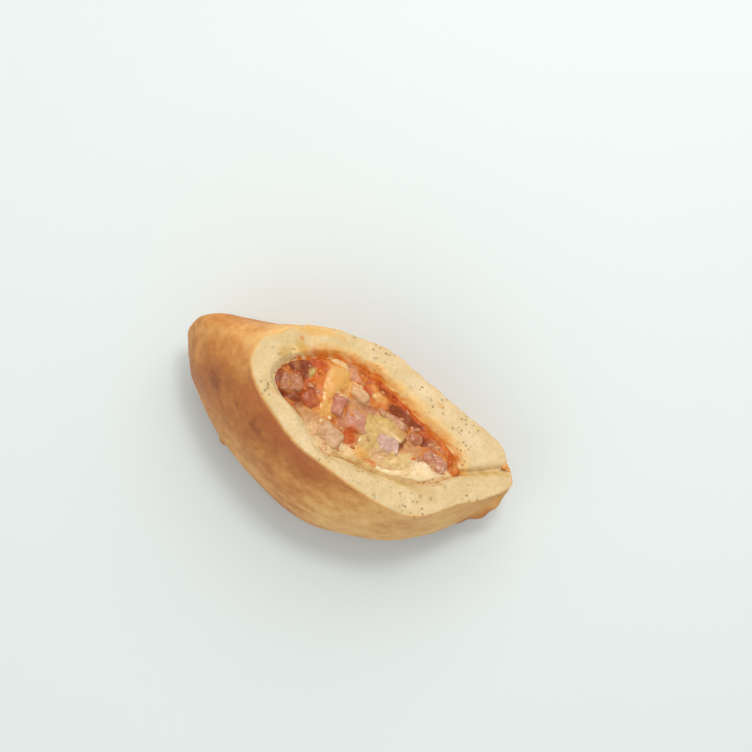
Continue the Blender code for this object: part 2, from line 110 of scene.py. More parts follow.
# How fine the pieces are here, and how much finer the bread is beside the groove.
COLUMNS = 440
SIDE_ROWS = 130
FACE_ROWS = 40
POCKET_ROWS = 14
FOOT_PLACE = 4.0
GROOVE_FINER = 0.6
GROOVE_NEAR = 0.25
CORE_COLUMNS = 300
CORE_ROWS = 96
CORE_DEPTHS = (34.0, 27.0, 17.0, 9.0, 5.0)
HAM_CUTS = 17
CHEESE_RINGS = 60
CHEESE_SIDES = 36

# Soft noise in layers of (size, height, seed).
CRUST_WAVES = [(21.0, 0.55, 1), (8.0, 0.25, 2)]
CRUST_GRAIN = [(3.6, 0.10, 41), (1.7, 0.05, 42)]
EDGE_WAVES = [(3.0, 0.34, 54), (1.3, 0.20, 55)]
CRUMB_WAVES = [(4.6, 0.30, 51), (2.1, 0.20, 52), (1.0, 0.12, 53)]
SAUCE_WAVES = [(6.0, 0.5, 5), (3.0, 0.3, 6)]
SAUCE_GRAIN = [(2.3, 0.34, 60), (1.3, 0.24, 61), (0.8, 0.12, 62)]
BROWN_WAVES = [(17.0, 0.07, 31), (7.0, 0.05, 32)]
MOTTLED_WAVES = [(15.0, 1.0, 33), (6.0, 0.6, 34)]
SEED_STEP = 17.31
HASH_FACTORS = (73856093, 19349663, 83492791)
TINY = 1e-9

# The ham, as (u, v, top above the cut, length, width, height, turn).
HAM = [
    (-41.7, -10.5, 0.6, 9.4, 9, 8.2, 24), (-30.8, -12.4, -0.1, 8.4, 8, 7, -24),
    (-18.3, 9, 0.3, 7.6, 6, 6.5, 14), (-13.8, 2, 1.1, 9.6, 7, 7.5, -10),
    (-19, -7.4, 1.6, 7.4, 9.4, 8.5, 16), (-8.4, -9, 1.5, 10.8, 10.2, 9, 12),
    (-15.8, -20.8, 0.7, 12.2, 8.6, 8, -12), (8.8, -10.6, 1.4, 11.2, 9.2, 8.5, 20),
    (5.8, 1, 0.6, 15.6, 4.6, 6, -6), (19.2, -0.9, 0.3, 8.4, 6.2, 6.5, 10),
    (31.3, -4.2, 0.8, 12.8, 8.4, 8, -4),
]
HAM_ROUND = 2.25
HAM_UNEVEN = 1.0

# Its looks: main and second tone, how stained, how fat, how bare of sauce.
HAM_LOOKS = [
    ((182, 114, 72), (168, 98, 58), 0.25, 0.3, 0.2),
    ((188, 96, 36), (170, 78, 26), 0.9, 0.1, 0.0),
    ((212, 148, 104), (204, 128, 82), 0.25, 0.35, 0.6),
    ((208, 156, 104), (216, 172, 122), 0.2, 0.4, 0.3),
    ((190, 120, 88), (180, 106, 76), 0.1, 0.4, 0.5),
    ((188, 120, 90), (196, 134, 104), 0.2, 0.35, 0.4),
    ((194, 142, 96), (200, 154, 108), 0.2, 0.4, 0.3),
    ((204, 166, 142), (200, 154, 134), 0.05, 0.6, 1.0),
    ((184, 120, 84), (198, 144, 104), 0.35, 0.5, 0.3),
    ((190, 124, 80), (174, 98, 58), 0.5, 0.6, 0.0),
    ((186, 120, 88), (178, 104, 74), 0.25, 0.7, 0.3),
]

# The cheese: a path on the face with (u, v, width, thickness, top above the cut).
CHEESE = [
    [(-27, 9.6, 8.4, 2.6, -0.4), (-25.6, 4.5, 10.4, 3.4, 0.9), (-26, -2.5, 9, 3.4, 1.1),
     (-25.2, -9, 5.4, 3, 0.6), (-24.2, -15.2, 4.6, 2.4, -0.2)],
    [(-2.6, -21.6, 6.4, 2.6, -0.3), (-1, -14.6, 7.4, 3.4, 0.7), (0.4, -7.6, 5.8, 3.4, 0.9),
     (5, -3.6, 4, 3, 0.8), (12.6, -3.7, 4, 2.6, 0.3)],
    [(-8.6, 6.9, 4, 2.6, 0), (-4, 5.7, 4.4, 3.4, 0.8), (1.6, 5.3, 3.2, 2.4, 0.1)],
    [(4.6, -17.9, 3.4, 2.4, -0.2), (12, -17, 3.6, 3, 0.6), (18.4, -11.6, 5.6, 3, 0.6),
     (21.6, -7.6, 4.2, 2.4, 0)],
    [(5.6, -21.9, 2.6, 2, -0.9), (15, -20.7, 2.8, 2.6, -0.2), (24, -16.2, 4.4, 3, 0.2),
     (32, -11.2, 4.6, 2.8, 0.1), (38.6, -6, 3.2, 2.2, -0.6)],
]

# How far each cheese stands over the sauce at its sides, and its main and second tone.
CHEESE_PROUD = [0.85, 0.4, 0.6, 0.4, 0.4]
CHEESE_LOOKS = [
    ((222, 164, 84), (218, 156, 74)), ((208, 170, 102), (200, 158, 92)),
    ((224, 170, 96), (214, 150, 76)), ((220, 184, 120), (212, 172, 106)),
    ((240, 210, 164), (232, 198, 144)),
]

SAUCE_LEVEL = -2.3
SAUCE_LUMP_WIDTH = 1.9
SAUCE_LUMPS = [
    (-33.4, -5.4, 2.2), (-36.8, -2, 2), (-32, 1, 2.2), (-7.4, -17.4, 2.4), (-3.6, -23, 1.8),
    (22.6, 3.6, 2), (26.6, 3.4, 1.8), (38.6, -0.6, 2.2), (-9.8, 10.4, 1.7), (-37, -14.6, 1.5),
    (13, 4.6, 0.8), (-31.4, -17.6, 1.6),
]

# How brown the crust is round it: (angle, beside the cut, over the shoulder, at the waist).
BROWN_ROUND = [
    (0, 0.2, 0.22, 0.2), (30, 0.32, 0.42, 0.36), (60, 0.42, 0.62, 0.6), (95, 0.4, 0.6, 0.62),
    (130, 0.24, 0.48, 0.56), (158, 0.18, 0.4, 0.5), (171, 0.24, 0.36, 0.46),
    (184, 0.36, 0.54, 0.56), (194, 0.54, 0.82, 0.76), (202, 0.62, 0.9, 0.74),
    (210, 0.7, 0.86, 0.66), (218, 0.76, 0.84, 0.54), (226, 0.78, 0.78, 0.44),
    (237, 0.78, 0.68, 0.36), (245, 0.74, 0.6, 0.32), (255, 0.68, 0.54, 0.3),
    (266, 0.58, 0.42, 0.28), (272, 0.5, 0.36, 0.26), (285, 0.36, 0.22, 0.18),
    (307, 0.24, 0.14, 0.14), (333, 0.18, 0.12, 0.14),
]

# Spots browned more or less than that: (angle, place, reach round, reach down, more).
BROWN_SPOTS = [
    (188, 0.55, 9, 0.22, -0.22), (197, 0.22, 8, 0.2, -0.16), (237, 0.7, 6, 0.18, -0.2),
    (252, 0.76, 7, 0.16, -0.2), (268, 0.82, 6, 0.16, -0.26), (257, 0.36, 8, 0.16, 0.14),
    (247, 0.22, 7, 0.14, 0.12), (198, 0.86, 6, 0.16, 0.14), (228, 0.5, 6, 0.14, 0.12),
    (166, 0.3, 8, 0.3, 0.14), (183, 1.28, 8, 0.14, -0.16), (242, 0.95, 8, 0.1, -0.1),
]

# The side that lay on the tray, as an angle and how far it reaches.
TRAY_SIDE = 75.0
TRAY_WIDTH = 55.0

# Tones of the sauce, the melted cheese and the oil in it, also laid on the crumb. Some serve as painted
# light too: glow as a warm soak made lighter, a painted lift of light on shaded slopes; olive as a
# painted shade band; cream as painted highlights on top edges.
TONES = {
    "dark": (134, 54, 5), "brown": (166, 96, 40), "red": (192, 84, 12), "orange": (208, 109, 26),
    "amber": (222, 162, 80), "straw": (206, 168, 100), "olive": (196, 160, 94), "tan": (200, 142, 88),
    "cream": (230, 196, 142), "rose": (196, 128, 88), "grey": (188, 130, 90), "glow": (248, 200, 124),
    "blush": (208, 156, 116), "gold": (230, 180, 104), "pale": (242, 218, 178), "halo": (234, 168, 86),
}

# How little of the amber shows where no patch lies, and a rim value far from the crust.
FAINT = 0.004
FAR = 50.0

# Pools and smears in the filling by tone, and a few painted highlights: (u, v, reach along, reach
# across, amount).
FILLING_TONES = {
    "dark": [
        (-48.4, -11, 1.8, 3.8, 0.9), (-45.5, -4.5, 4.8, 1.8, 0.9), (-39.4, 0, 4, 2.2, 0.9),
        (-43.4, -16.2, 3, 1.5, 0.8), (-37.4, -15.3, 2.6, 2.3, 0.9), (-38.9, -5, 2.2, 3.7, 0.85),
        (-3, 9.4, 4, 2, 0.6), (5, 4.4, 3.4, 2.6, 0.9), (9.2, 5.4, 5.6, 2.4, 0.88),
        (15.6, 4.2, 4.6, 2.2, 0.85), (23.2, 0.6, 3.6, 1.9, 0.8), (13.6, -9.4, 1, 3.4, 1.1),
        (15, -5.8, 1, 3.4, 1.1),
    ],
    "brown": [
        (-44.6, -1.8, 4.2, 1.8, 0.95), (-34.2, -17.2, 1.9, 2.3, 0.7), (-41.7, -10.5, 5.4, 5.4, 0.6),
    ],
    "red": [
        (-34.9, -6.5, 3, 1.8, 0.8), (-35, 4.1, 4, 2.3, 0.9), (-31.1, 2.3, 2.6, 2.2, 0.8),
        (-31.6, -12.2, 4.4, 2.8, 0.9), (-10.6, 4.6, 3.4, 2.3, 0.8), (-8, -16, 4.2, 4, 0.95),
        (-8, 11.4, 6, 1.8, 0.9), (16.4, 7.6, 6, 1.6, 0.9), (2, 9.6, 5, 1.8, 0.85),
        (9.6, 8.8, 5, 1.5, 0.9), (23, 3.9, 4.2, 2, 0.9), (38, 0.4, 1.5, 4.3, 0.95),
    ],
    "olive": [(-36.2, -1.5, 1.4, 2.3, 0.8)],
    "orange": [
        (-30.5, -2.6, 4.4, 3.8, 0.85), (-25.5, -8.3, 3, 3.2, 0.9), (-16, 6.8, 3.8, 2.8, 0.9),
        (-30.4, -4, 1.6, 5, 1.2), (33, 4.2, 2.6, 2.3, 0.9), (6, -21.6, 2.6, 1.4, 0.8),
    ],
    "rose": [
        (-31.2, -7.6, 3.6, 1.8, 0.7), (-14, -12.6, 3, 3.4, 0.7), (-20.4, 11, 2.6, 1.5, 1.2),
        (29.4, 1.4, 4.6, 1.8, 0.7),
    ],
    "amber": [
        (-22.2, -12.6, 3, 4.3, 0.9), (-24.4, 2, 4.8, 7.6, 0.85), (-20.6, -0.6, 3.4, 5, 0.85),
        (-21.6, 5.4, 3, 3.4, 0.8), (-0.4, -20.4, 4.4, 3, 0.8),
    ],
    "tan": [
        (-25, -19, 5, 2.6, 0.85), (-12, -4.4, 4, 3.4, 0.7), (31.4, -7.2, 2.2, 1.6, 1.2),
        (19.4, -6.4, 4.4, 4, 0.85), (10, -2.2, 5, 2.4, 0.6), (-18.4, -21, 6.4, 4.4, 0.8),
        (-30, -20.4, 5, 3, 0.85),
    ],
    "grey": [(-8, -1.6, 6.2, 3, 0.8)],
    # The first four cream rows, strong enough to win over the rest, are painted highlights along the
    # top edges of cheese 1 and ham cuts 8, 5 and 4; the rest is pale cheese.
    "cream": [
        (-27, 9.6, 3.6, 0.9, 2.4), (7.6, -6, 4.8, 0.8, 3), (-19.6, -3.2, 3, 0.8, 2.6),
        (-15.6, 5.4, 2.4, 0.7, 2.4), (19, -16.4, 4, 1.8, 1.3), (-7, -23.8, 6, 2.8, 0.85),
        (-25.8, -23, 6, 3.6, 0.92), (-15, -27.2, 7, 2.8, 0.92), (27, -13, 11, 4, 0.95),
        (38.6, -8, 4.6, 3.2, 0.95), (18, -20.4, 12, 3.6, 0.95),
    ],
    "blush": [(7.4, -16.8, 4.2, 2.8, 1.4)],
    "pale": [(27.6, -10.8, 5, 2.4, 1.3)],
    "straw": [
        (17.6, -21.2, 8, 2.2, 1), (-6, -25.8, 5, 1.8, 1), (4, -4, 9, 4.2, 0.9),
        (-1.6, -12.4, 4.4, 8, 0.92), (6, -13, 7, 6, 0.9), (14, -16.6, 10, 4.4, 0.85),
        (5, -25.4, 8, 2.6, 0.9), (-7, -26.8, 8, 2.6, 0.85),
    ],
}

# Tones laid on the crumb round the pocket, in the same way: mostly what has soaked into it, with
# painted shade and a painted lift of light where noted.
CRUMB_TONES = {
    "straw": [
        (-51.6, -1.6, 2.8, 4, 0.75), (-47, 5.4, 4, 2.6, 0.7), (-46.4, -18.6, 4, 2, 0.6),
        (-12, -29.6, 10, 1.3, 0.45), (50, 0.8, 3, 1.8, 0.6), (54.6, 3.8, 3.4, 2, 0.75),
        (59, 6.4, 3.2, 1.8, 0.7), (63.2, 8.6, 3, 1.8, 0.6),
    ],
    "tan": [
        (-49.4, -9.6, 0.9, 3, 0.7), (-48.2, -5.4, 1.1, 2.6, 0.8), (-46, -2.2, 1.8, 1.9, 0.85),
        (-37.4, -19.2, 6, 1.2, 0.5),
    ],
    "orange": [
        (-42.8, 0.7, 2.4, 1.4, 0.8), (-39.2, 3.6, 2.8, 1.3, 0.85), (-35, 6.8, 3, 1.4, 0.9),
        (-39, 6.8, 3.2, 2.2, 0.6), (-34.8, 8.8, 3.4, 1.8, 0.8), (-28.4, 11.4, 5, 1.6, 0.9),
        (-19, 14, 6, 1.4, 0.85), (-9, 14, 6, 1.4, 0.9), (1, 12, 6.4, 1.1, 0.85),
        (11, 9.7, 6.4, 1.1, 0.85), (21, 7.6, 6.4, 1.1, 0.9), (31, 6, 5.4, 1.2, 0.85),
        (39.4, 2.6, 3.4, 1.6, 0.8), (43.2, -2.6, 1.8, 2.2, 0.85), (-47.3, 8.6, 1.5, 1.3, 0.5),
    ],
    # Warm soak made lighter than the crumb: a painted lift of light on the lip's slope, which falls
    # into shade.
    "glow": [
        (-47.6, 2, 2.4, 2.2, 0.5), (-24, 15.6, 8, 3, 0.28), (-10, 16.6, 7.4, 3.4, 0.32),
        (2, 14.6, 7, 3.6, 0.42), (13, 12.2, 7, 3.8, 0.5), (24, 9.8, 7, 3.6, 0.45),
        (35, 7.4, 7, 3.2, 0.42), (43.6, 1.6, 3.4, 3.4, 0.4),
    ],
    "amber": [
        (-43.8, 4.6, 2.8, 2, 0.7), (-36, 10.8, 8, 2.6, 0.5), (45.6, -1.8, 2.6, 1.8, 0.6),
        (22.2, 18.2, 2.2, 1.6, 0.5), (-45.7, 12.7, 3.5, 1.8, 0.35),
    ],
    "halo": [
        (-29, 13.6, 5, 1.6, 0.5), (-21, 15.6, 5.5, 1.6, 0.5), (-11.5, 16.5, 5.5, 1.7, 0.55),
        (-1.5, 14.7, 5.5, 1.7, 0.55), (9, 11.9, 5.5, 1.7, 0.5), (19.5, 9.7, 5.5, 1.7, 0.5),
        (30, 8, 5.5, 1.6, 0.5), (39, 5, 3.6, 1.6, 0.5),
    ],
    # Olive along the lower lip is painted shade: a shadow band under its pale ledge.
    "olive": [
        (4, -25.8, 9, 2, 0.6), (22, -20.9, 11, 2.3, 0.6), (36, -12, 7, 2.2, 0.5),
    ],
    "gold": [
        (-50.5, 11.6, 3.2, 1.9, 0.6), (-46.4, 14, 3.2, 1.9, 0.65), (-42.2, 16.1, 3.4, 2.1, 0.65),
        (-37.6, 18, 3.4, 2.1, 0.65), (-33, 19.6, 3.2, 1.6, 0.5), (-59.8, 2.6, 2.4, 2.6, 0.45),
    ],
    "pale": [
        (43, 13.8, 9, 5, 0.5), (26, 17.6, 9, 4.6, 0.25), (10, 20.7, 8, 4.6, 0.55),
    ],
}

# Where the sauce lies over the ham and cheese too, and where painted highlights are let onto their top
# edges: (u, v, reach along, reach across, amount).
SAUCE_AND_HIGHLIGHT_OVER = [
    # The rows at (7.6, -6.2), (-19.4, -3.6), (-15.4, 5.2) and (-27, 9.4) let painted highlights show
    # along top edges.
    (-8.6, -14.4, 5.2, 2.2, 1), (-45.4, -7.2, 2.2, 1.6, 0.5), (35.6, -1.6, 2.2, 2, 0.7),
    (-14.6, -25.2, 3.6, 1.4, 0.5), (-10.4, 4.8, 2, 1.4, 0.6), (7.6, -6.2, 5, 0.9, 0.95),
    (-19.4, -3.6, 3.2, 0.8, 0.9), (-15.4, 5.2, 2.6, 0.7, 0.8), (7.4, -16.8, 4, 2.6, 0.85),
    (15.2, -7.6, 1, 3.6, 0.9), (31.2, -7.4, 2.2, 1.6, 0.8), (-30.6, -4, 1.7, 6, 1),
    (-27, 9.4, 3.6, 0.8, 0.7),
]

# Small bits that lie in the filling: (u, v, length, width, tone, height over the sauce).
BITS = [
    (-33.6, -7, 3.4, 2.2, "rose", 0.5), (-29.8, -7.6, 2.6, 2, "rose", 0.6),
    (-36.3, -1.6, 2, 3.2, "olive", 0.5), (-38.6, -3.6, 2, 3, "dark", 0.4),
    (-10.8, -0.2, 3, 2, "grey", 0.5), (-7, 0.6, 3.2, 1.8, "rose", 0.5),
    (-5.2, -2, 2.4, 2.2, "grey", 0.6), (16, 2.4, 3, 1.8, "rose", 0.7),
    (13.6, 0.6, 2.4, 1.6, "brown", 0.5), (18.2, 3.8, 3, 2, "rose", 0.6),
    (15.4, -2.6, 2, 1.6, "grey", 0.5), (23.4, -4, 3, 2, "rose", 0.6),
    (22, -1.6, 2.4, 1.8, "dark", 0.5), (26.4, 0.6, 3.2, 1.6, "rose", 0.6),
    (30, 1.8, 3.2, 1.6, "tan", 0.6), (24.6, -7.6, 2.6, 1.8, "grey", 0.5),
    (-22.6, -17.4, 3.4, 2.2, "cream", 0.35), (-20, -14, 2, 3.4, "cream", 0.35),
    (-13.2, -15.6, 2.4, 1.8, "tan", 0.6), (-10.6, -24.4, 2.8, 1.8, "rose", 0.4),
    (-4.6, -20.4, 2.4, 1.6, "brown", 0.4), (-36, 2.8, 2.4, 1.6, "red", 0.5),
    (-33.2, 0.6, 2, 2, "orange", 0.6), (-18.6, 6.2, 2.4, 1.6, "rose", 0.5),
    (-13.6, 7.4, 2.2, 1.8, "tan", 0.5), (2.4, 9.4, 3, 1.4, "red", 0.4),
    (36.6, 2.2, 1.8, 2.4, "red", 0.5), (9.4, 3.4, 2.4, 1.4, "rose", 0.4),
    (-40.4, -12.8, 2.2, 1.8, "brown", 0.4), (-28.4, 4.6, 2.4, 1.6, "orange", 0.5),
]

CRUMB_COUNT = 18

CAMERA_PLACE = (12.5, 23.1, 900.0)
CAMERA_LENS = 93.25
CAMERA_SENSOR = 36.0
FLOOR_REACH = 1.6

# The lights: name, place in metres, size, power, colour.
LIGHTS = [
    ("window", (0.30, 0.78, 0.95), (1.2, 0.9), 6.2, (1.0, 0.985, 0.96)),
    ("lamp", (0.20, 0.40, 1.0), (0.2, 0.2), 2.8, (1.0, 0.99, 0.97)),
    ("fill", (-0.8, -0.4, 1.1), (1.0, 1.0), 2.6, (1.0, 0.98, 0.95)),
]
LIGHT_TARGET = (0, 0, 0.03)


def srgb(r, g, b):
    """A screen colour out of 255 as the linear one that shaders take."""
    c = np.array([r, g, b]) / 255.0
    c = np.where(c <= 0.04045, c / 12.92, ((c + 0.055) / 1.055) ** 2.4)
    return (*c.tolist(), 1.0)


# The shape, as in the model.


def face_axes():
    side = np.sin(CUT_TILT)
    w = np.array([side * np.cos(CUT_LEAN), side * np.sin(CUT_LEAN), np.cos(CUT_TILT)])
    along = np.array([np.cos(CUT_TURN), np.sin(CUT_TURN), 0.0])
    u = along - w * (along @ w)
    u = u / np.linalg.norm(u)
    return np.array([u, np.cross(w, u), w])


AXES = face_axes()


def from_face(places):
    return CUT_CENTRE + np.asarray(places, float) @ AXES


def in_metres(points):
    return (np.asarray(points, float) - BOX_MIDDLE) * MM


def ease(low, high, value):
    t = np.clip((value - low) / (high - low), 0.0, 1.0)
    return t * t * (3 - 2 * t)


def unit(vectors):
    return vectors / np.linalg.norm(vectors, axis=1, keepdims=True)


def distance(a, b):
    return np.linalg.norm(a - b, axis=-1)


def bell(value, width, power=2):
    """1 in the middle, falling softly to 0 at about twice the width."""
    return np.exp(-(value / width) ** power)


def curve_point(a, b, c, d, t):
    """The smooth curve through b and c, at this share of the way between them."""
    return b + 0.5 * t * (c - a + t * (2 * a - 5 * b + 4 * c - d + t * (3 * b - a - 3 * c + d)))


def smooth_loop(points, per_span=16):
    given = np.array(points, float)
    t = np.linspace(0.0, 1.0, per_span, endpoint=False)[:, None]
    count = len(given)
    return np.concatenate([
        curve_point(*(given[(i + k - 1) % count] for k in range(4)), t) for i in range(count)
    ])


def smooth_path(points, count):
    given = np.array(points, float)
    given = np.vstack([2 * given[0] - given[1], given, 2 * given[-1] - given[-2]])
    rows = []
    for place in np.linspace(0.0, len(given) - 3.0, count):
        i = min(int(place), len(given) - 4)
        rows.append(curve_point(*given[i:i + 4], place - i))
    return np.array(rows)


def turned_axes(turn):
    return np.array([np.cos(turn), np.sin(turn)]), np.array([-np.sin(turn), np.cos(turn)])


def loop_at(points, middle, reach, turn, angles):
    curve = smooth_loop(points)
    away = curve[:, :2] - middle
    along, across = (away @ axis for axis in turned_axes(turn))
    angle = np.arctan2(across / reach[1], along / reach[0])
    return np.stack(
        [np.interp(angles, angle, column, period=2 * np.pi) for column in curve.T], axis=1
    )


def face_loop(points, angles):
    return loop_at(points, FACE_MIDDLE, FACE_REACH, 0.0, angles)


def bumps(points, size, seed):
    """Soft noise from -1 to 1 at these points, with bumps about this far apart."""
    points = np.asarray(points, float)
    if points.shape[-1] == 2:
        points = np.concatenate([points, np.zeros(points.shape[:-1] + (1,))], axis=-1)
    place = points / size + seed * SEED_STEP
    low = np.floor(place).astype(int)
    part = place - low
    part = part * part * (3 - 2 * part)
    total = np.zeros(place.shape[:-1])
    for corner in range(8):
        step = np.array([corner & 1, corner >> 1 & 1, corner >> 2])
        x, y, z = np.moveaxis((low + step) * HASH_FACTORS, -1, 0)
        mixed = (x ^ y ^ z) & 0xFFFFFF
        mixed = (mixed * 1103515245 + 12345) & 0x7FFFFFFF
        value = (mixed >> 8 & 0xFFFF) / 32767.5 - 1.0
        total += value * np.prod(np.where(step == 1, part, 1 - part), axis=-1)
    return total


def layers(points, waves, start=0.0):
    """Soft noise in layers of (size, height, seed), laid on this start."""
    return sum((height * bumps(points, size, seed) for size, height, seed in waves), start)


def shifts(points, size, seed, step=1):
    """Soft noise with bumps of its own for each coordinate of the points."""
    return np.column_stack([bumps(points, size, seed + step * k) for k in range(points.shape[1])])


def columns(count):
    away = np.linspace(-np.pi, np.pi, count, endpoint=False)
    return GROOVE_TO + away * (1 - GROOVE_FINER * bell(away, GROOVE_NEAR))


def from_groove(angles):
    return (angles - GROOVE_TO + np.pi) % (2 * np.pi) - np.pi


def at_mouth(angles):
    return angles - (GROOVE_TO - GROOVE_FROM) * bell(from_groove(angles), GROOVE_BEND)


def crust_rows(angles, places):
    """Rings of the crust at these places: 0 at the cut, 2 at the waist, 4 at the foot."""
    edge = from_face(np.column_stack([face_loop(CRUST_EDGE, angles), np.zeros(len(angles))]))
    waist = loop_at(WAIST, WAIST_MIDDLE, WAIST_REACH, CUT_TURN, angles)
    along, across = turned_axes(CUT_TURN)
    foot = np.zeros((len(angles), 3))
    foot[:, :2] = (FOOT_MIDDLE + np.outer(np.cos(angles) * FOOT_REACH[0], along)
                   + np.outer(np.sin(angles) * FOOT_REACH[1], across))
    base_side = (0.5 + 0.5 * np.cos(angles - BASE_SIDE)) ** 2
    factor = (DOME_FACTOR + (BASE_FACTOR - DOME_FACTOR) * base_side)[:, None]
    shoulder = 0.5 * (edge + waist)
    shoulder[:, :2] = waist[:, :2] + (edge[:, :2] - waist[:, :2]) * factor
    low = waist + (foot - waist) * FOOT_EDGE_INSET
    low[:, 2] = FOOT_EDGE_HEIGHT
    beyond = foot + (foot - low) * np.array([0.6, 0.6, 0.0])
    keys = [2 * edge - shoulder, edge, shoulder, waist, low, foot, beyond]
    rows = []
    for place in places:
        i = min(int(place), 3)
        rows.append(curve_point(*keys[i:i + 4], place - i))
    return np.array(rows)


def grid_normals(grid):
    """Unit directions out of a grid of rings that run down and round."""
    round_it = np.roll(grid, -1, axis=1) - np.roll(grid, 1, axis=1)
    down_it = np.gradient(grid, axis=0)
    normal = np.cross(down_it, round_it)
    return normal / np.maximum(np.linalg.norm(normal, axis=2, keepdims=True), TINY)


def seam_line(angles):
    """Where the sealed edge runs, and how far it is there at all."""
    turned = (np.degrees(angles) + 200.0) % 360.0 - 200.0
    path = np.array(SEAM_PATH[::-1])
    centre = np.interp(turned, path[:, 0], path[:, 1])
    return turned, centre, ease(-198, -180, turned) * (1 - ease(-6, 15, turned))


def seam_relief(angles, place):
    turned, centre, ends = seam_line(angles)
    pinch = 1 + 0.35 * np.sin(angles * SEAM_PINCHES) * ease(1.2, 2.4, centre)
    ridge = bell(place - centre, SEAM_WIDTH)
    crease = 0.35 * bell(place - centre + 2.1 * SEAM_WIDTH, SEAM_WIDTH)
    corner = CORNER_HEIGHT * bell(turned - SEAM_CORNER, CORNER_WIDTH)
    notch = bell(from_groove(angles), NOTCH_WIDTH) * (1 - ease(0.2, 0.9, place))
    notch = notch * ease(-0.06, 0.2, place)
    return SEAM_HEIGHT * ends * (ridge * pinch - crease) + corner * ridge - NOTCH_DEPTH * notch


def face_relief(places, share, inward, groove_away):
    swell = CRUMB_SWELL * ease(0, 5, inward) * (1 + 0.5 * bumps(places, 11.0, 3))
    drop = LIP_DROP * (1 - ease(0, LIP_ROUND, inward))
    groove = GROOVE_DEPTH * bell(groove_away, GROOVE_WIDTH)
    return (swell - drop) * ease(-0.05, 0.07, share) - groove


def pocket_ring(angles, depth, inset):
    edge = face_loop(POCKET_EDGE, at_mouth(angles))
    away = (edge - FACE_MIDDLE) * np.sqrt(1 - (depth / POCKET_DEPTH) ** 3)
    places = FACE_MIDDLE + away * (1 - inset / np.linalg.norm(away, axis=1, keepdims=True))
    return np.column_stack([places, np.full(len(angles), -depth)])


# Meshes and what they carry for the shaders.


def ring_mesh(name, rings, first_point, last_point):
    """A closed mesh from rings of points in millimetres. A point caps an end, or a flat face."""
    rings = np.array(rings)
    count = rings.shape[1]
    points = [in_metres(rings.reshape(-1, 3))]
    i = np.arange(count)
    j = (i + 1) % count
    quads = np.concatenate([
        np.column_stack([r * count + i, (r + 1) * count + i, (r + 1) * count + j, r * count + j])
        for r in range(len(rings) - 1)
    ])
    faces = quads.tolist()
    total = len(rings) * count
    for ring, point, flip in ((0, first_point, True), (len(rings) - 1, last_point, False)):
        start = ring * count
        if point is None:
            faces.append((start + i)[::-1].tolist())
            continue
        points.append(in_metres([point]))
        for a, b in zip(start + i, start + j):
            faces.append([int(b), int(a), total] if flip else [int(a), int(b), total])
        total += 1
    mesh = bpy.data.meshes.new(name)
    mesh.from_pydata(np.concatenate(points).tolist(), [], faces)
    made = bmesh.new()
    made.from_mesh(mesh)
    bmesh.ops.recalc_face_normals(made, faces=made.faces)
    made.to_mesh(mesh)
    made.free()
    mesh.update()
    return mesh


def mesh_of(name, made):
    mesh = bpy.data.meshes.new(name)
    made.to_mesh(mesh)
    made.free()
    return mesh


def set_values(mesh, name, values):
    """A value for each point, for the shaders. Points past the given ones get the last value."""
    values = np.asarray(values, np.float32).reshape(-1)
    full = np.full(len(mesh.vertices), values[-1], np.float32)
    full[:len(values)] = values
    mesh.attributes.new(name, "FLOAT", "POINT").data.foreach_set("value", full)


def patch_at(places, u, v, along, across, power):
    """How strong a soft oval patch is at each place: 1 in its middle, 0 well outside."""
    away = ((places[:, 0] - u) / along) ** 2 + ((places[:, 1] - v) / across) ** 2
    return np.exp(-away ** power)


def cover_at(places, patches):
    """How much these patches cover each place, 0 to 1, with a wavering edge."""
    places = places + 0.7 * shifts(places, 2.4, 205)
    clear = np.ones(len(places))
    for *oval, amount in patches:
        clear *= 1 - amount * patch_at(places, *oval, 1.5)
    return 1 - clear


def set_tones(mesh, places, patches):
    """The mixed tone of the patches at each point's place on the face, and how strong it is."""
    places = np.asarray(places, float).reshape(-1, 2)
    wobble = shifts(places, 3.4, 201) + 0.5 * shifts(places, 1.5, 203)
    spots = places + 0.8 * wobble
    total = np.full(len(places), FAINT)
    colour = np.tile(FAINT * np.array(srgb(*TONES["amber"])[:3]), (len(places), 1))
    clear = np.ones(len(places))
    for tone, rows in patches.items():
        rgb = np.array(srgb(*TONES[tone])[:3])
        for *oval, amount in rows:
            weight = amount * patch_at(spots, *oval, 1.3)
            total += weight ** 2
            colour += (weight ** 2)[:, None] * rgb
            clear *= 1 - np.minimum(weight, 1.0)
    full = np.zeros((len(mesh.vertices), 4), np.float32)
    full[:len(places), :3] = colour / total[:, None]
    full[:len(places), 3] = 1 - clear
    full[len(places):] = full[len(places) - 1]
    mesh.attributes.new("tone", "FLOAT_COLOR", "POINT").data.foreach_set("color", full.reshape(-1))


def add_object(name, data):
    made = bpy.data.objects.new(name, data)
    bpy.context.scene.collection.objects.link(made)
    return made


def add_piece(name, mesh, material, nodes=()):
    mesh.materials.append(material)
    mesh.shade_smooth()
    piece = add_object(name, mesh)
    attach(piece, "root")
    if nodes:
        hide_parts(*nodes)


# Materials.


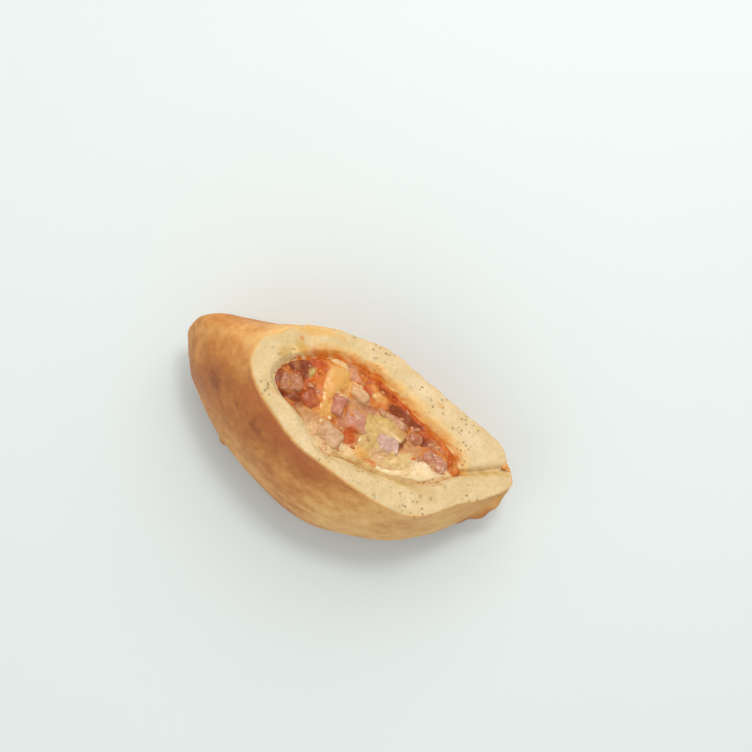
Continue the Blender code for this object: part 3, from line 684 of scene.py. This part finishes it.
class Shader:
    """A material made by short calls: each adds one node and gives its main output.

    A value is another node's output, a number, or a screen colour of three out of 255.
    """

    def __init__(self, name):
        self.material = bpy.data.materials.new(name)
        self.material.use_nodes = True
        self.nodes = self.material.node_tree.nodes
        self.links = self.material.node_tree.links
        self.place = self.nodes.new("ShaderNodeTexCoord").outputs["Object"]

    def fill(self, node, values):
        for name, value in values.items():
            socket = node.inputs[name]
            if isinstance(value, bpy.types.NodeSocket):
                self.links.new(value, socket)
            else:
                socket.default_value = srgb(*value) if isinstance(value, tuple) else value
        return node

    def noise(self, scale, detail=3.0, rough=0.5, lift=0.0):
        return self.fill(self.nodes.new("ShaderNodeTexNoise"), {
            "Vector": self.place, "Scale": scale, "Detail": detail, "Roughness": rough,
            "Distortion": lift,
        }).outputs["Fac"]

    def cells(self, scale):
        node = self.nodes.new("ShaderNodeTexVoronoi")
        return self.fill(node, {"Vector": self.place, "Scale": scale}).outputs["Distance"]

    def carried(self, name):
        node = self.nodes.new("ShaderNodeAttribute")
        node.attribute_name = name
        return node.outputs

    def value(self, name):
        return self.carried(name)["Fac"]

    def math(self, kind, a, b, clamp=False):
        node = self.nodes.new("ShaderNodeMath")
        node.operation = kind
        node.use_clamp = clamp
        return self.fill(node, {0: a, 1: b}).outputs[0]

    def plus(self, a, b, clamp=False):
        return self.math("ADD", a, b, clamp)

    def minus(self, a, b):
        return self.math("SUBTRACT", a, b)

    def times(self, a, b):
        return self.math("MULTIPLY", a, b)

    def larger(self, a, b):
        return self.math("MAXIMUM", a, b)

    def swing(self, noise, amount):
        """Noise about 0 instead of 0.5, made this much stronger or weaker."""
        return self.times(self.minus(noise, 0.5), amount)

    def span(self, value, low, high, to_low=0.0, to_high=1.0):
        node = self.nodes.new("ShaderNodeMapRange")
        node.interpolation_type = "SMOOTHSTEP"
        return self.fill(node, {
            "Value": value, "From Min": low, "From Max": high, "To Min": to_low, "To Max": to_high,
        }).outputs["Result"]

    def fade(self, value, low, high):
        return self.span(value, low, high, 1.0, 0.0)

    def mix(self, share, a, b, kind="MIX"):
        node = self.nodes.new("ShaderNodeMix")
        node.data_type = "RGBA"
        node.blend_type = kind
        node.clamp_factor = True
        return self.fill(node, {0: share, 6: a, 7: b}).outputs[2]

    def ramp(self, value, stops):
        node = self.fill(self.nodes.new("ShaderNodeValToRGB"), {0: value})
        made = node.color_ramp.elements
        while len(made) < len(stops):
            made.new(0.5)
        for element, (place, colour) in zip(made, stops):
            element.position = place
            element.color = srgb(*colour)
        return node.outputs["Color"]

    def paint(self, share, tone, kind="MIX"):
        """Lays a tone over the colour so far, as much as its share says."""
        self.colour = self.mix(share, self.colour, tone, kind)

    def finish(self, roughness, height, distance, specular, subsurface=0.0, depth=0.002, coat=0.0):
        bump = self.fill(self.nodes.new("ShaderNodeBump"), {"Distance": distance, "Height": height})
        surface = self.nodes["Principled BSDF"]
        self.fill(surface, {
            "Base Color": self.colour, "Roughness": roughness, "Normal": bump.outputs["Normal"],
            "Specular IOR Level": specular, "Subsurface Weight": subsurface,
            "Subsurface Scale": depth, "Coat Weight": coat, "Coat Roughness": 0.15,
        })
        surface.inputs["Subsurface Radius"].default_value = (1.0, 0.5, 0.25)
        return self.material


def crust_material():
    """Baked crust: golden where it is low, brown and mottled where it stood up in the oven."""
    s = Shader("baked_crust")
    brown = s.value("brown")
    place = s.value("place")
    fine = s.noise(310, 4, 0.62)
    shade = s.plus(brown, s.swing(s.noise(52, 5, 0.6, 0.5), 0.86))
    shade = s.plus(shade, s.swing(s.noise(150, 4, 0.6, 0.4), 0.50))
    shade = s.plus(shade, s.swing(fine, 0.45))
    shade = s.plus(shade, s.swing(s.noise(1500, 2), 0.10), True)
    s.colour = s.ramp(shade, [
        (0, (240, 194, 124)), (0.22, (229, 175, 104)), (0.42, (213, 147, 77)),
        (0.62, (193, 121, 54)), (0.82, (177, 103, 43)), (1, (152, 84, 36)),
    ])
    warm = s.times(s.span(brown, 0.45, 0.75), s.fade(place, 0, 0.55))
    s.paint(s.times(warm, 0.55), (196, 98, 36))
    spots = s.times(s.fade(s.cells(230), 0.05, 0.20), s.span(s.noise(55, 2), 0.54, 0.70))
    s.paint(s.times(spots, 0.30), (136, 72, 36))
    flour = s.span(s.noise(130, 4, 0.7, 0.8), 0.60, 0.78, 0, 0.30)
    s.paint(s.times(flour, s.span(place, 0.7, 1.6)), (240, 214, 168))
    s.paint(s.times(s.fade(place, 0, 0.05), 0.8), (234, 174, 98))
    height = s.plus(s.times(fine, 0.6), s.times(s.noise(2600, 2), 0.12))
    height = s.minus(height, s.times(spots, 0.15))
    rough = s.span(shade, 0.1, 0.9, 0.62, 0.48)
    return s.finish(rough, height, 0.0006, 0.32, 0.06, 0.0015)


def crumb_material():
    """The cut crumb: cream, with small pores painted darker as shade in them, orange where sauce has
    soaked into it, and painted shade and light laid round the pocket.
    """
    s = Shader("cut_crumb")
    s.colour = s.ramp(s.noise(85, 4, 0.6), [
        (0.30, (216, 186, 131)), (0.48, (226, 197, 147)), (0.66, (235, 208, 163)),
    ])
    grain_and_shading = s.noise(620, 4, 0.65)
    s.paint(s.span(grain_and_shading, 0.35, 0.66, 0.32, 0), (200, 172, 112))
    # The tones laid round the pocket: soaked sauce, a painted shade band and a painted lift of light.
    tone = s.carried("tone")
    soak_shade_and_light = s.plus(tone["Alpha"], s.swing(s.noise(260, 4, 0.65), 0.28), True)
    s.paint(s.span(soak_shade_and_light, 0.04, 0.85), tone["Color"])
    herbs = s.times(s.fade(s.cells(150), 0.06, 0.19), s.span(s.noise(120, 3, 0.6), 0.46, 0.58))
    s.paint(s.times(herbs, 0.5), (150, 138, 90))
    # Pores dip in the bump and are painted darker as well: painted shade in them.
    holes = s.times(s.fade(s.cells(520), 0.10, 0.30), s.span(s.noise(70, 3, 0.6), 0.45, 0.62))
    s.paint(s.times(holes, 0.42), (162, 136, 88))
    s.paint(s.times(s.fade(s.value("rim"), 0, 0.9), 0.8), (234, 176, 102))
    height = s.minus(s.minus(s.times(grain_and_shading, 0.8), holes), s.times(herbs, 0.5))
    height = s.plus(height, s.times(s.noise(2200, 2), 0.25))
    return s.finish(0.78, height, 0.0008, 0.25, 0.12, 0.0025)


def sauce_material():
    """Tomato sauce and melted cheese run together: dark red, oily orange and straw, with painted shade
    in the hollows and a painted highlight on the tops.
    """
    s = Shader("tomato_sauce")
    s.colour = s.ramp(s.noise(170, 5, 0.62, 0.5), [
        (0.22, (156, 72, 12)), (0.40, (192, 94, 24)), (0.54, (210, 124, 46)), (0.74, (222, 160, 82)),
    ])
    tone = s.carried("tone")
    part = s.plus(tone["Alpha"], s.swing(s.noise(330, 4, 0.65), 0.55), True)
    s.paint(s.span(part, 0.10, 0.62), tone["Color"])
    s.paint(s.span(s.noise(520, 3), 0.54, 0.74, 0, 0.22), (226, 172, 104))
    grain_and_shading = s.value("grain_and_shading")
    # Painted shade darkens the low places of the surface and a painted highlight pales the high ones.
    s.paint(s.span(grain_and_shading, -0.60, 0.05, 0.75, 0), (204, 124, 72), "MULTIPLY")
    s.paint(s.span(grain_and_shading, 0.20, 0.80, 0, 0.20), (236, 180, 104), "SCREEN")
    height = s.plus(s.noise(380, 4, 0.6), s.times(s.noise(1500, 2), 0.2))
    return s.finish(0.33, height, 0.0009, 0.34, 0.10, 0.002, 0.08)


def ham_material(name, main, second, stain, fat, bare):
    """Cooked ham: a main and a second tone, streaks of fat, and a coat of what it lies in, which also
    lays painted highlights along some top edges.
    """
    s = Shader(name)
    s.colour = s.mix(s.span(s.noise(190, 4, 0.6, 0.6), 0.38, 0.62), main, second)
    streak = s.span(s.noise(420, 3, 0.5, 1.5), 0.56, 0.68, 0, fat)
    s.paint(streak, (240, 208, 176))
    broken = s.swing(s.noise(260, 4, 0.65, 0.4), 3.2)
    # Sauce on the low parts and where patches say, and along some top edges a painted highlight.
    film_and_highlight = s.fade(s.plus(s.value("height"), broken), -0.8 - bare, 0.9 - bare)
    film_and_highlight = s.larger(film_and_highlight, s.span(s.noise(150, 3, 0.6, 0.3), 0.5, 0.72, 0, stain))
    film_and_highlight = s.larger(film_and_highlight, s.span(s.plus(s.value("over"), s.times(broken, 0.16)), 0.15, 0.75))
    s.paint(s.times(film_and_highlight, 0.9), s.carried("tone")["Color"])
    height = s.plus(s.noise(650, 4, 0.6), s.times(s.noise(260, 2), 0.8))
    return s.finish(0.32, height, 0.0006, 0.45, 0.15, 0.003, 0.15)


def cheese_material(name, main, second):
    """Melted cheese: two close tones with oil on them, thin and stained towards its edges, with a
    painted highlight where one is laid on it.
    """
    s = Shader(name)
    s.colour = s.mix(s.span(s.noise(160, 3, 0.6, 0.4), 0.38, 0.64), main, second)
    s.paint(s.span(s.noise(240, 3), 0.58, 0.74, 0, 0.35), (228, 150, 74))
    broken = s.swing(s.noise(300, 4, 0.65, 0.4), 2.4)
    # Stain on the low parts and where patches say, and along cheese 1's top edge a painted highlight.
    film_and_highlight = s.fade(s.plus(s.value("height"), broken), -1.6, -0.2)
    film_and_highlight = s.larger(film_and_highlight, s.span(s.plus(s.value("over"), s.times(broken, 0.16)), 0.15, 0.75))
    s.paint(s.times(film_and_highlight, 0.85), s.carried("tone")["Color"])
    height = s.plus(s.noise(240, 3), s.times(s.noise(900, 2), 0.2))
    return s.finish(0.26, height, 0.0006, 0.45, 0.2, 0.003, 0.2)


def bit_material():
    """Small bits of ham, tomato and herb, each with its own tone."""
    s = Shader("filling_bit")
    tint = s.carried("tone")["Color"]
    pale = s.mix(1, tint, (190, 140, 84), "SCREEN")
    s.colour = s.mix(s.span(s.noise(520, 3, 0.6, 0.5), 0.45, 0.75, 0, 0.2), tint, pale)
    s.paint(s.span(s.noise(330, 3), 0.25, 0.45, 0.35, 0), (190, 112, 56))
    return s.finish(0.34, s.noise(900, 3, 0.6), 0.0005, 0.4, 0.12, 0.002, 0.12)


def floor_material():
    s = Shader("pale_floor")
    s.colour = s.mix(s.noise(4, 2), (220, 228, 226), (224, 231, 229))
    return s.finish(0.55, s.noise(900, 2), 0.00002, 0.3)


# The bread.


def browning(angles, place, points):
    """How brown the crust is: most on the shoulder of the dome, least beside the fold's end."""
    table = np.array(BROWN_ROUND, float)
    turned = np.degrees(angles) % 360.0
    beside, over, waist = (np.interp(turned, table[:, 0], table[:, k], period=360.0) for k in (1, 2, 3))
    base = beside + (over - beside) * ease(0, 0.7, place)
    base += (waist - base) * ease(0.7, 1.25, place)
    base += (0.34 - base) * ease(1.4, 2.2, place)
    for angle, at, wide, tall, more in BROWN_SPOTS:
        away = (turned - angle + 180.0) % 360.0 - 180.0
        base += more * np.exp(-(away / wide) ** 2 - ((place - at) / tall) ** 2)
    _, centre, ends = seam_line(angles)
    base += 0.34 * ends * bell(place - centre, 0.34) * ease(1.2, 2.2, centre)
    tray = bell(turned - TRAY_SIDE, TRAY_WIDTH) * ease(0.3, 1.2, place)
    mottled = layers(points, MOTTLED_WAVES)
    base += tray * 0.30 * mottled
    foot = ease(3, 4, place) * (0.16 + 0.13 * mottled)
    foot += ease(1.1, 2, place) * (0.06 + 0.13 * mottled)
    return layers(points, BROWN_WAVES, base + foot)


def streaks(angles, place):
    """Long fine folds where the dough was stretched round the dome, from -1 to 1."""
    turned = np.degrees(angles)
    level = 0 * angles
    below = 1 - ease(1.5, 1.9, place)
    where = bell(turned + 112.0, 26.0, 4) * ease(0.45, 0.75, place) * below
    points = np.column_stack([10.0 * place + 0.062 * turned, turned / 26.0, level])
    wave = bumps(points, 1.0, 221) + 0.3 * bumps(points * [2.1, 1.6, 1.0], 1.0, 222)
    wide = bell(turned + 60.0, 40.0, 4) * ease(0.35, 0.6, place) * below
    points = np.column_stack([9.0 * place + level, turned / 30.0, level])
    return where * wave + 0.5 * wide * bumps(points, 1.0, 223)


def make_bread():
    angles = columns(COLUMNS)
    places = np.linspace(0.0, 1.0, SIDE_ROWS)
    places = FOOT_PLACE * (0.55 * places + 0.45 * places ** 1.6)
    rows = crust_rows(angles, places)
    edge = face_loop(CRUST_EDGE, angles)
    ragged = layers(edge, EDGE_WAVES)
    side = []
    brown = []
    for place, row, normal in zip(places, rows, grid_normals(rows)):
        fade = ease(0, 0.6, place) * (1 - ease(3.4, 3.9, place))
        folds = streaks(angles, place)
        amount = layers(row, CRUST_WAVES) * fade
        amount += layers(row, CRUST_GRAIN) * ease(0, 0.1, place)
        amount += seam_relief(angles, place) * (1 - ease(3.5, 3.9, place))
        amount += 0.22 * folds
        amount += bell(place, 0.06) * ragged
        moved = row + normal * amount[:, None]
        moved[:, 2] = np.maximum(moved[:, 2], 0.0)
        side.append(moved)
        brown.append(browning(angles, place, row) - 0.14 * folds)
    mouth = face_loop(POCKET_EDGE, at_mouth(angles))
    outward = unit(edge - mouth)
    groove = np.argmin(np.abs(angles - GROOVE_TO))
    face = []
    rim = []
    spread = []
    shares = np.linspace(0.0, 1.0, FACE_ROWS)
    shares = shares - 0.08 * np.sin(2 * np.pi * shares)
    for share in shares:
        spots = edge + (mouth - edge) * share + outward * (ragged * bell(share, 0.05))[:, None]
        inward = distance(spots, mouth)
        outer = distance(spots, edge)
        near_groove = distance(spots, spots[groove])
        relief = face_relief(spots, share, inward, near_groove)
        relief += layers(spots, CRUMB_WAVES) * ease(0, 1.6, outer)
        face.append(from_face(np.column_stack([spots, relief])))
        rim.append(outer)
        spread.append(spots)
    side[0] = face[0]
    depths = LIP_DROP + (POCKET_DEPTH - LIP_DROP) * np.linspace(0.03, 0.95, POCKET_ROWS) ** 1.3
    pocket = [from_face(pocket_ring(angles, depth, 0.0)) for depth in depths]
    rings = [*side[::-1], *face[1:], *pocket]
    mesh = ring_mesh("bread", rings, None, from_face([*FACE_MIDDLE, -POCKET_DEPTH]))
    blank = np.zeros(COLUMNS)
    inside = [blank] * (FACE_ROWS - 1 + POCKET_ROWS)
    set_values(mesh, "place", [*(blank + place for place in places[::-1]), *inside])
    set_values(mesh, "brown", [*brown[::-1], *inside])
    set_values(mesh, "rim", [*[blank] * SIDE_ROWS, *rim[1:], *[blank + FAR] * POCKET_ROWS])
    set_tones(mesh, [*[edge] * SIDE_ROWS, *spread[1:], *[mouth] * POCKET_ROWS], CRUMB_TONES)
    add_piece("bread", mesh, crust_material(), ["dough"])
    mesh.materials.append(crumb_material())
    first_crumb = (SIDE_ROWS - 1) * COLUMNS
    index = [int(min(polygon.vertices) >= first_crumb) for polygon in mesh.polygons]
    mesh.polygons.foreach_set("material_index", index)
    mesh.update()


# The filling.


def sauce_height(places):
    """The top of the filling between its pieces: it climbs up to each of them, as it melted."""
    base = layers(places, SAUCE_WAVES, SAUCE_LEVEL + 0.55)
    for u, v, rise in SAUCE_LUMPS:
        base += rise * bell(distance(places, np.array([u, v])), SAUCE_LUMP_WIDTH)
    levels = [base]
    for u, v, top, length, width, _, turn in HAM:
        c, s = np.cos(np.radians(turn)), np.sin(np.radians(turn))
        x = (places[:, 0] - u) * c + (places[:, 1] - v) * s
        y = (places[:, 1] - v) * c - (places[:, 0] - u) * s
        beside = np.maximum(abs(x) - length / 2 + 1.0, 0)
        away = np.hypot(beside, np.maximum(abs(y) - width / 2 + 1.0, 0))
        levels.append(top - 0.9 - 0.62 * away)
    for path, drop in zip(CHEESE, CHEESE_PROUD):
        for u, v, width, _, top in smooth_path(path, 14):
            away = np.maximum(np.hypot(places[:, 0] - u, places[:, 1] - v) - 0.38 * width, 0)
            levels.append(top - drop - 0.45 * away)
    levels = np.array(levels)
    height = np.log(np.exp(3.0 * levels).sum(axis=0)) / 3.0
    return np.minimum(height, levels.max(axis=0) + 0.25) + layers(places, SAUCE_GRAIN)


def make_sauce():
    angles = columns(CORE_COLUMNS)
    wall = [from_face(pocket_ring(angles, depth, 0.1)) for depth in CORE_DEPTHS]
    at_groove = bell(angles - GROOVE_TO, 0.07)
    rim = pocket_ring(angles, 2.6, 0.0)[:, :2]
    rim = rim + unit(rim - FACE_MIDDLE) * (0.8 + 1.7 * at_groove)[:, None]
    top = []
    grain_and_shading = []
    spread = []
    for share in np.linspace(1.0, 0.01, CORE_ROWS) ** 0.8:
        places = FACE_MIDDLE + (rim - FACE_MIDDLE) * share
        inward = distance(rim, places)
        height = sauce_height(places)
        height += (-2.45 - 2.8 * at_groove - height) * bell(inward, 0.8)
        ceiling = -1.75 + 0.55 * np.maximum(inward - 0.8, 0) + 0.3 * bumps(places, 2.0, 63)
        height = np.minimum(height, ceiling)
        top.append(from_face(np.column_stack([places, height])))
        # How high the surface is, bumps and all: this drives the painted shade and painted highlight of
        # the sauce.
        grain_and_shading.append(layers(places, SAUCE_GRAIN) + 0.16 * (height - SAUCE_LEVEL - 1.2))
        spread.append(places)
    low_point = from_face([*FACE_MIDDLE, 1.0 - POCKET_DEPTH])
    top_point = from_face([*FACE_MIDDLE, float(sauce_height(FACE_MIDDLE[None])[0])])
    mesh = ring_mesh("sauce_top", [*wall, *top], low_point, top_point)
    set_values(mesh, "grain_and_shading", [*[np.zeros(CORE_COLUMNS)] * len(wall), *grain_and_shading])
    set_tones(mesh, [*[rim] * len(wall), *spread], FILLING_TONES)
    add_piece("sauce_top", mesh, sauce_material(), ["sauce"])


def make_ham(number, piece, material):
    """One cut of ham as a finely divided rounded block, uneven all over."""
    u, v, top, length, width, height, turn = piece
    made = bmesh.new()
    bmesh.ops.create_cube(made, size=1.0)
    bmesh.ops.subdivide_edges(made, edges=made.edges[:], cuts=HAM_CUTS, use_grid_fill=True)
    points = np.array([vert.co[:] for vert in made.verts]) * (length, width, height)
    core = np.array([length, width, height]) / 2 - HAM_ROUND
    inner = np.clip(points, -core, core)
    away = points - inner
    points = inner + away * (HAM_ROUND / np.maximum(np.linalg.norm(away, axis=1, keepdims=True), TINY))
    c, s = np.cos(np.radians(turn)), np.sin(np.radians(turn))
    lean = 0.05 * points[:, 2]
    place = np.column_stack([
        u + c * points[:, 0] - s * points[:, 1] + lean,
        v + s * points[:, 0] + c * points[:, 1] - lean,
        top - height / 2 + points[:, 2],
    ])
    place += HAM_UNEVEN * shifts(place, 6.0, 11)
    rough = shifts(place, 2.2, 70 + number, 20)
    fibre = shifts(place, 1.0, 75 + number, 20)
    place = place + 0.30 * rough + 0.12 * fibre
    for vert, point in zip(made.verts, in_metres(from_face(place))):
        vert.co = point.tolist()
    bmesh.ops.recalc_face_normals(made, faces=made.faces)
    name = f"ham_cut_{number}"
    mesh = mesh_of(name, made)
    set_values(mesh, "height", place[:, 2] - top + 1.4)
    set_values(mesh, "over", cover_at(place[:, :2], SAUCE_AND_HIGHLIGHT_OVER))
    set_tones(mesh, place[:, :2], FILLING_TONES)
    add_piece(name, mesh, material, [f"ham_{number}"])


def squared(wave):
    """A sine or cosine drawn out towards its ends, for a ring that is rather square."""
    return np.sign(wave) * np.abs(wave) ** 0.8


def make_cheese(number, path, material):
    """One tongue of melted cheese, with soft uneven edges."""
    stations = smooth_path(path, CHEESE_RINGS)
    angles = np.linspace(0.0, 2 * np.pi, CHEESE_SIDES, endpoint=False)
    heading = unit(np.gradient(stations[:, :2], axis=0))
    across = np.column_stack([-heading[:, 1], heading[:, 0]])
    last = len(stations) - 1
    rings = []
    heights = []
    spread = []
    for i, (u, v, width, thick, top) in enumerate(stations):
        end = np.sqrt(max(0.0, 1 - ((2 * i / last - 1) * 0.985) ** 6))
        side = width / 2 * end * squared(np.cos(angles))
        rise = thick / 2 * end * squared(np.sin(angles))
        middle = top - thick / 2
        places = np.column_stack([u + across[i, 0] * side, v + across[i, 1] * side, middle + rise])
        soft = shifts(places, 4.0, 130 + number, 20)
        fine = shifts(places, 1.8, 135 + number, 20)
        places = places + 0.5 * soft + 0.16 * fine
        rings.append(from_face(places))
        heights.append(places[:, 2] - top + 0.9)
        spread.append(places[:, :2])
    ends = []
    for i, sign in ((0, -1), (last, 1)):
        tip = stations[i, :2] + heading[i] * sign * 0.5
        ends.append(from_face([*tip, stations[i, 4] - stations[i, 3] / 2]))
    name = f"cheese_melt_{number}"
    mesh = ring_mesh(name, rings, *ends)
    set_values(mesh, "height", heights)
    set_values(mesh, "over", cover_at(np.concatenate(spread), SAUCE_AND_HIGHLIGHT_OVER))
    set_tones(mesh, spread, FILLING_TONES)
    add_piece(name, mesh, material, [f"cheese_{number}"])


def make_bits(name, material, bits, seed):
    """Small bits of the filling, half sunk in it and joined into one mesh."""
    draw = np.random.default_rng(seed)
    ball = bmesh.new()
    bmesh.ops.create_icosphere(ball, subdivisions=3, radius=1.0)
    round_points = np.array([vert.co[:] for vert in ball.verts])
    round_faces = np.array([[vert.index for vert in face.verts] for face in ball.faces])
    ball.free()
    block = np.sign(round_points) * np.abs(round_points) ** 0.7
    points = []
    faces = []
    spread = []
    patches = {}
    for number, (u, v, length, width, tone, rise) in enumerate(bits):
        turn = draw.uniform(-0.7, 0.7)
        c, s = np.cos(turn), np.sin(turn)
        tall = 0.5 * min(length, width)
        x, y, z = (block * (length / 2, width / 2, tall)).T
        level = float(sauce_height(np.array([[u, v]]))[0]) + rise - tall
        place = np.column_stack([u + c * x - s * y, v + s * x + c * y, level + z])
        place += 0.22 * width * shifts(place, 1.7, seed + number + 300, 40)
        faces.append(round_faces + len(points) * len(place))
        points.append(from_face(place))
        spread.append(place[:, :2])
        patches.setdefault(tone, []).append((u, v, 0.8 * length, 0.8 * width, 0.95))
    mesh = bpy.data.meshes.new(name)
    mesh.from_pydata(in_metres(np.concatenate(points)).tolist(), [], np.concatenate(faces).tolist())
    set_tones(mesh, np.concatenate(spread), patches)
    add_piece(name, mesh, material)


def small_bits(seed, count, tones):
    """Crumbs too small to place one by one, strewn over the filling."""
    draw = np.random.default_rng(seed)
    bits = []
    while len(bits) < count:
        angle = draw.uniform(-np.pi, np.pi, 1)
        rim = pocket_ring(angle, 3.0, 1.5)[0, :2]
        x, y = FACE_MIDDLE + (rim - FACE_MIDDLE) * np.sqrt(draw.uniform(0.0, 1.0))
        size = draw.uniform(0.8, 1.6)
        tone = tones[int(draw.integers(len(tones)))]
        on_ham = any(np.hypot(x - ham[0], y - ham[1]) < 0.55 * max(ham[3], ham[4]) for ham in HAM)
        if on_ham or y < -14.0 - 0.1 * x:
            continue
        bits.append((x, y, size * draw.uniform(1.0, 1.7), size, tone, 0.2 * size))
    return bits


def make_filling():
    hams = [ham_material(f"ham_{k}", *look) for k, look in zip("abcdefghijk", HAM_LOOKS)]
    for number, (piece, material) in enumerate(zip(HAM, hams), 1):
        make_ham(number, piece, material)
    cheeses = [cheese_material(f"cheese_{k}", *look) for k, look in zip("abcde", CHEESE_LOOKS)]
    for number, (path, material) in enumerate(zip(CHEESE, cheeses), 1):
        make_cheese(number, path, material)
    make_sauce()
    make_bits("filling_bits", bit_material(), BITS, 5)
    crumbs = small_bits(9, CRUMB_COUNT, ["rose", "tan", "grey", "orange"])
    make_bits("filling_crumbs", bit_material(), crumbs, 9)


# The stage.


def make_stage():
    made = bmesh.new()
    bmesh.ops.create_grid(made, x_segments=8, y_segments=8, size=FLOOR_REACH)
    mesh = mesh_of("floor", made)
    mesh.materials.append(floor_material())
    add_object("floor", mesh)


def make_lights():
    world = bpy.data.worlds.new("soft_room")
    world.use_nodes = True
    background = world.node_tree.nodes["Background"]
    background.inputs["Color"].default_value = (0.98, 0.99, 1.0, 1.0)
    background.inputs["Strength"].default_value = 0.60
    bpy.context.scene.world = world
    for name, place, (width, depth), power, colour in LIGHTS:
        light = bpy.data.lights.new(name, "AREA")
        light.shape = "RECTANGLE"
        light.size = width
        light.size_y = depth
        light.energy = power
        light.color = colour
        lamp = add_object(name, light)
        lamp.location = place
        towards = Vector(LIGHT_TARGET) - Vector(place)
        lamp.rotation_euler = towards.to_track_quat("-Z", "Y").to_euler()


def make_camera():
    data = bpy.data.cameras.new("camera")
    data.lens = CAMERA_LENS
    data.sensor_width = CAMERA_SENSOR
    data.clip_start = 0.05
    data.clip_end = 10.0
    camera = add_object("camera", data)
    camera.location = [c * MM for c in CAMERA_PLACE]
    bpy.context.scene.camera = camera


make_camera()
make_stage()
make_lights()
make_bread()
make_filling()
bpy.context.scene.view_settings.view_transform = "Standard"
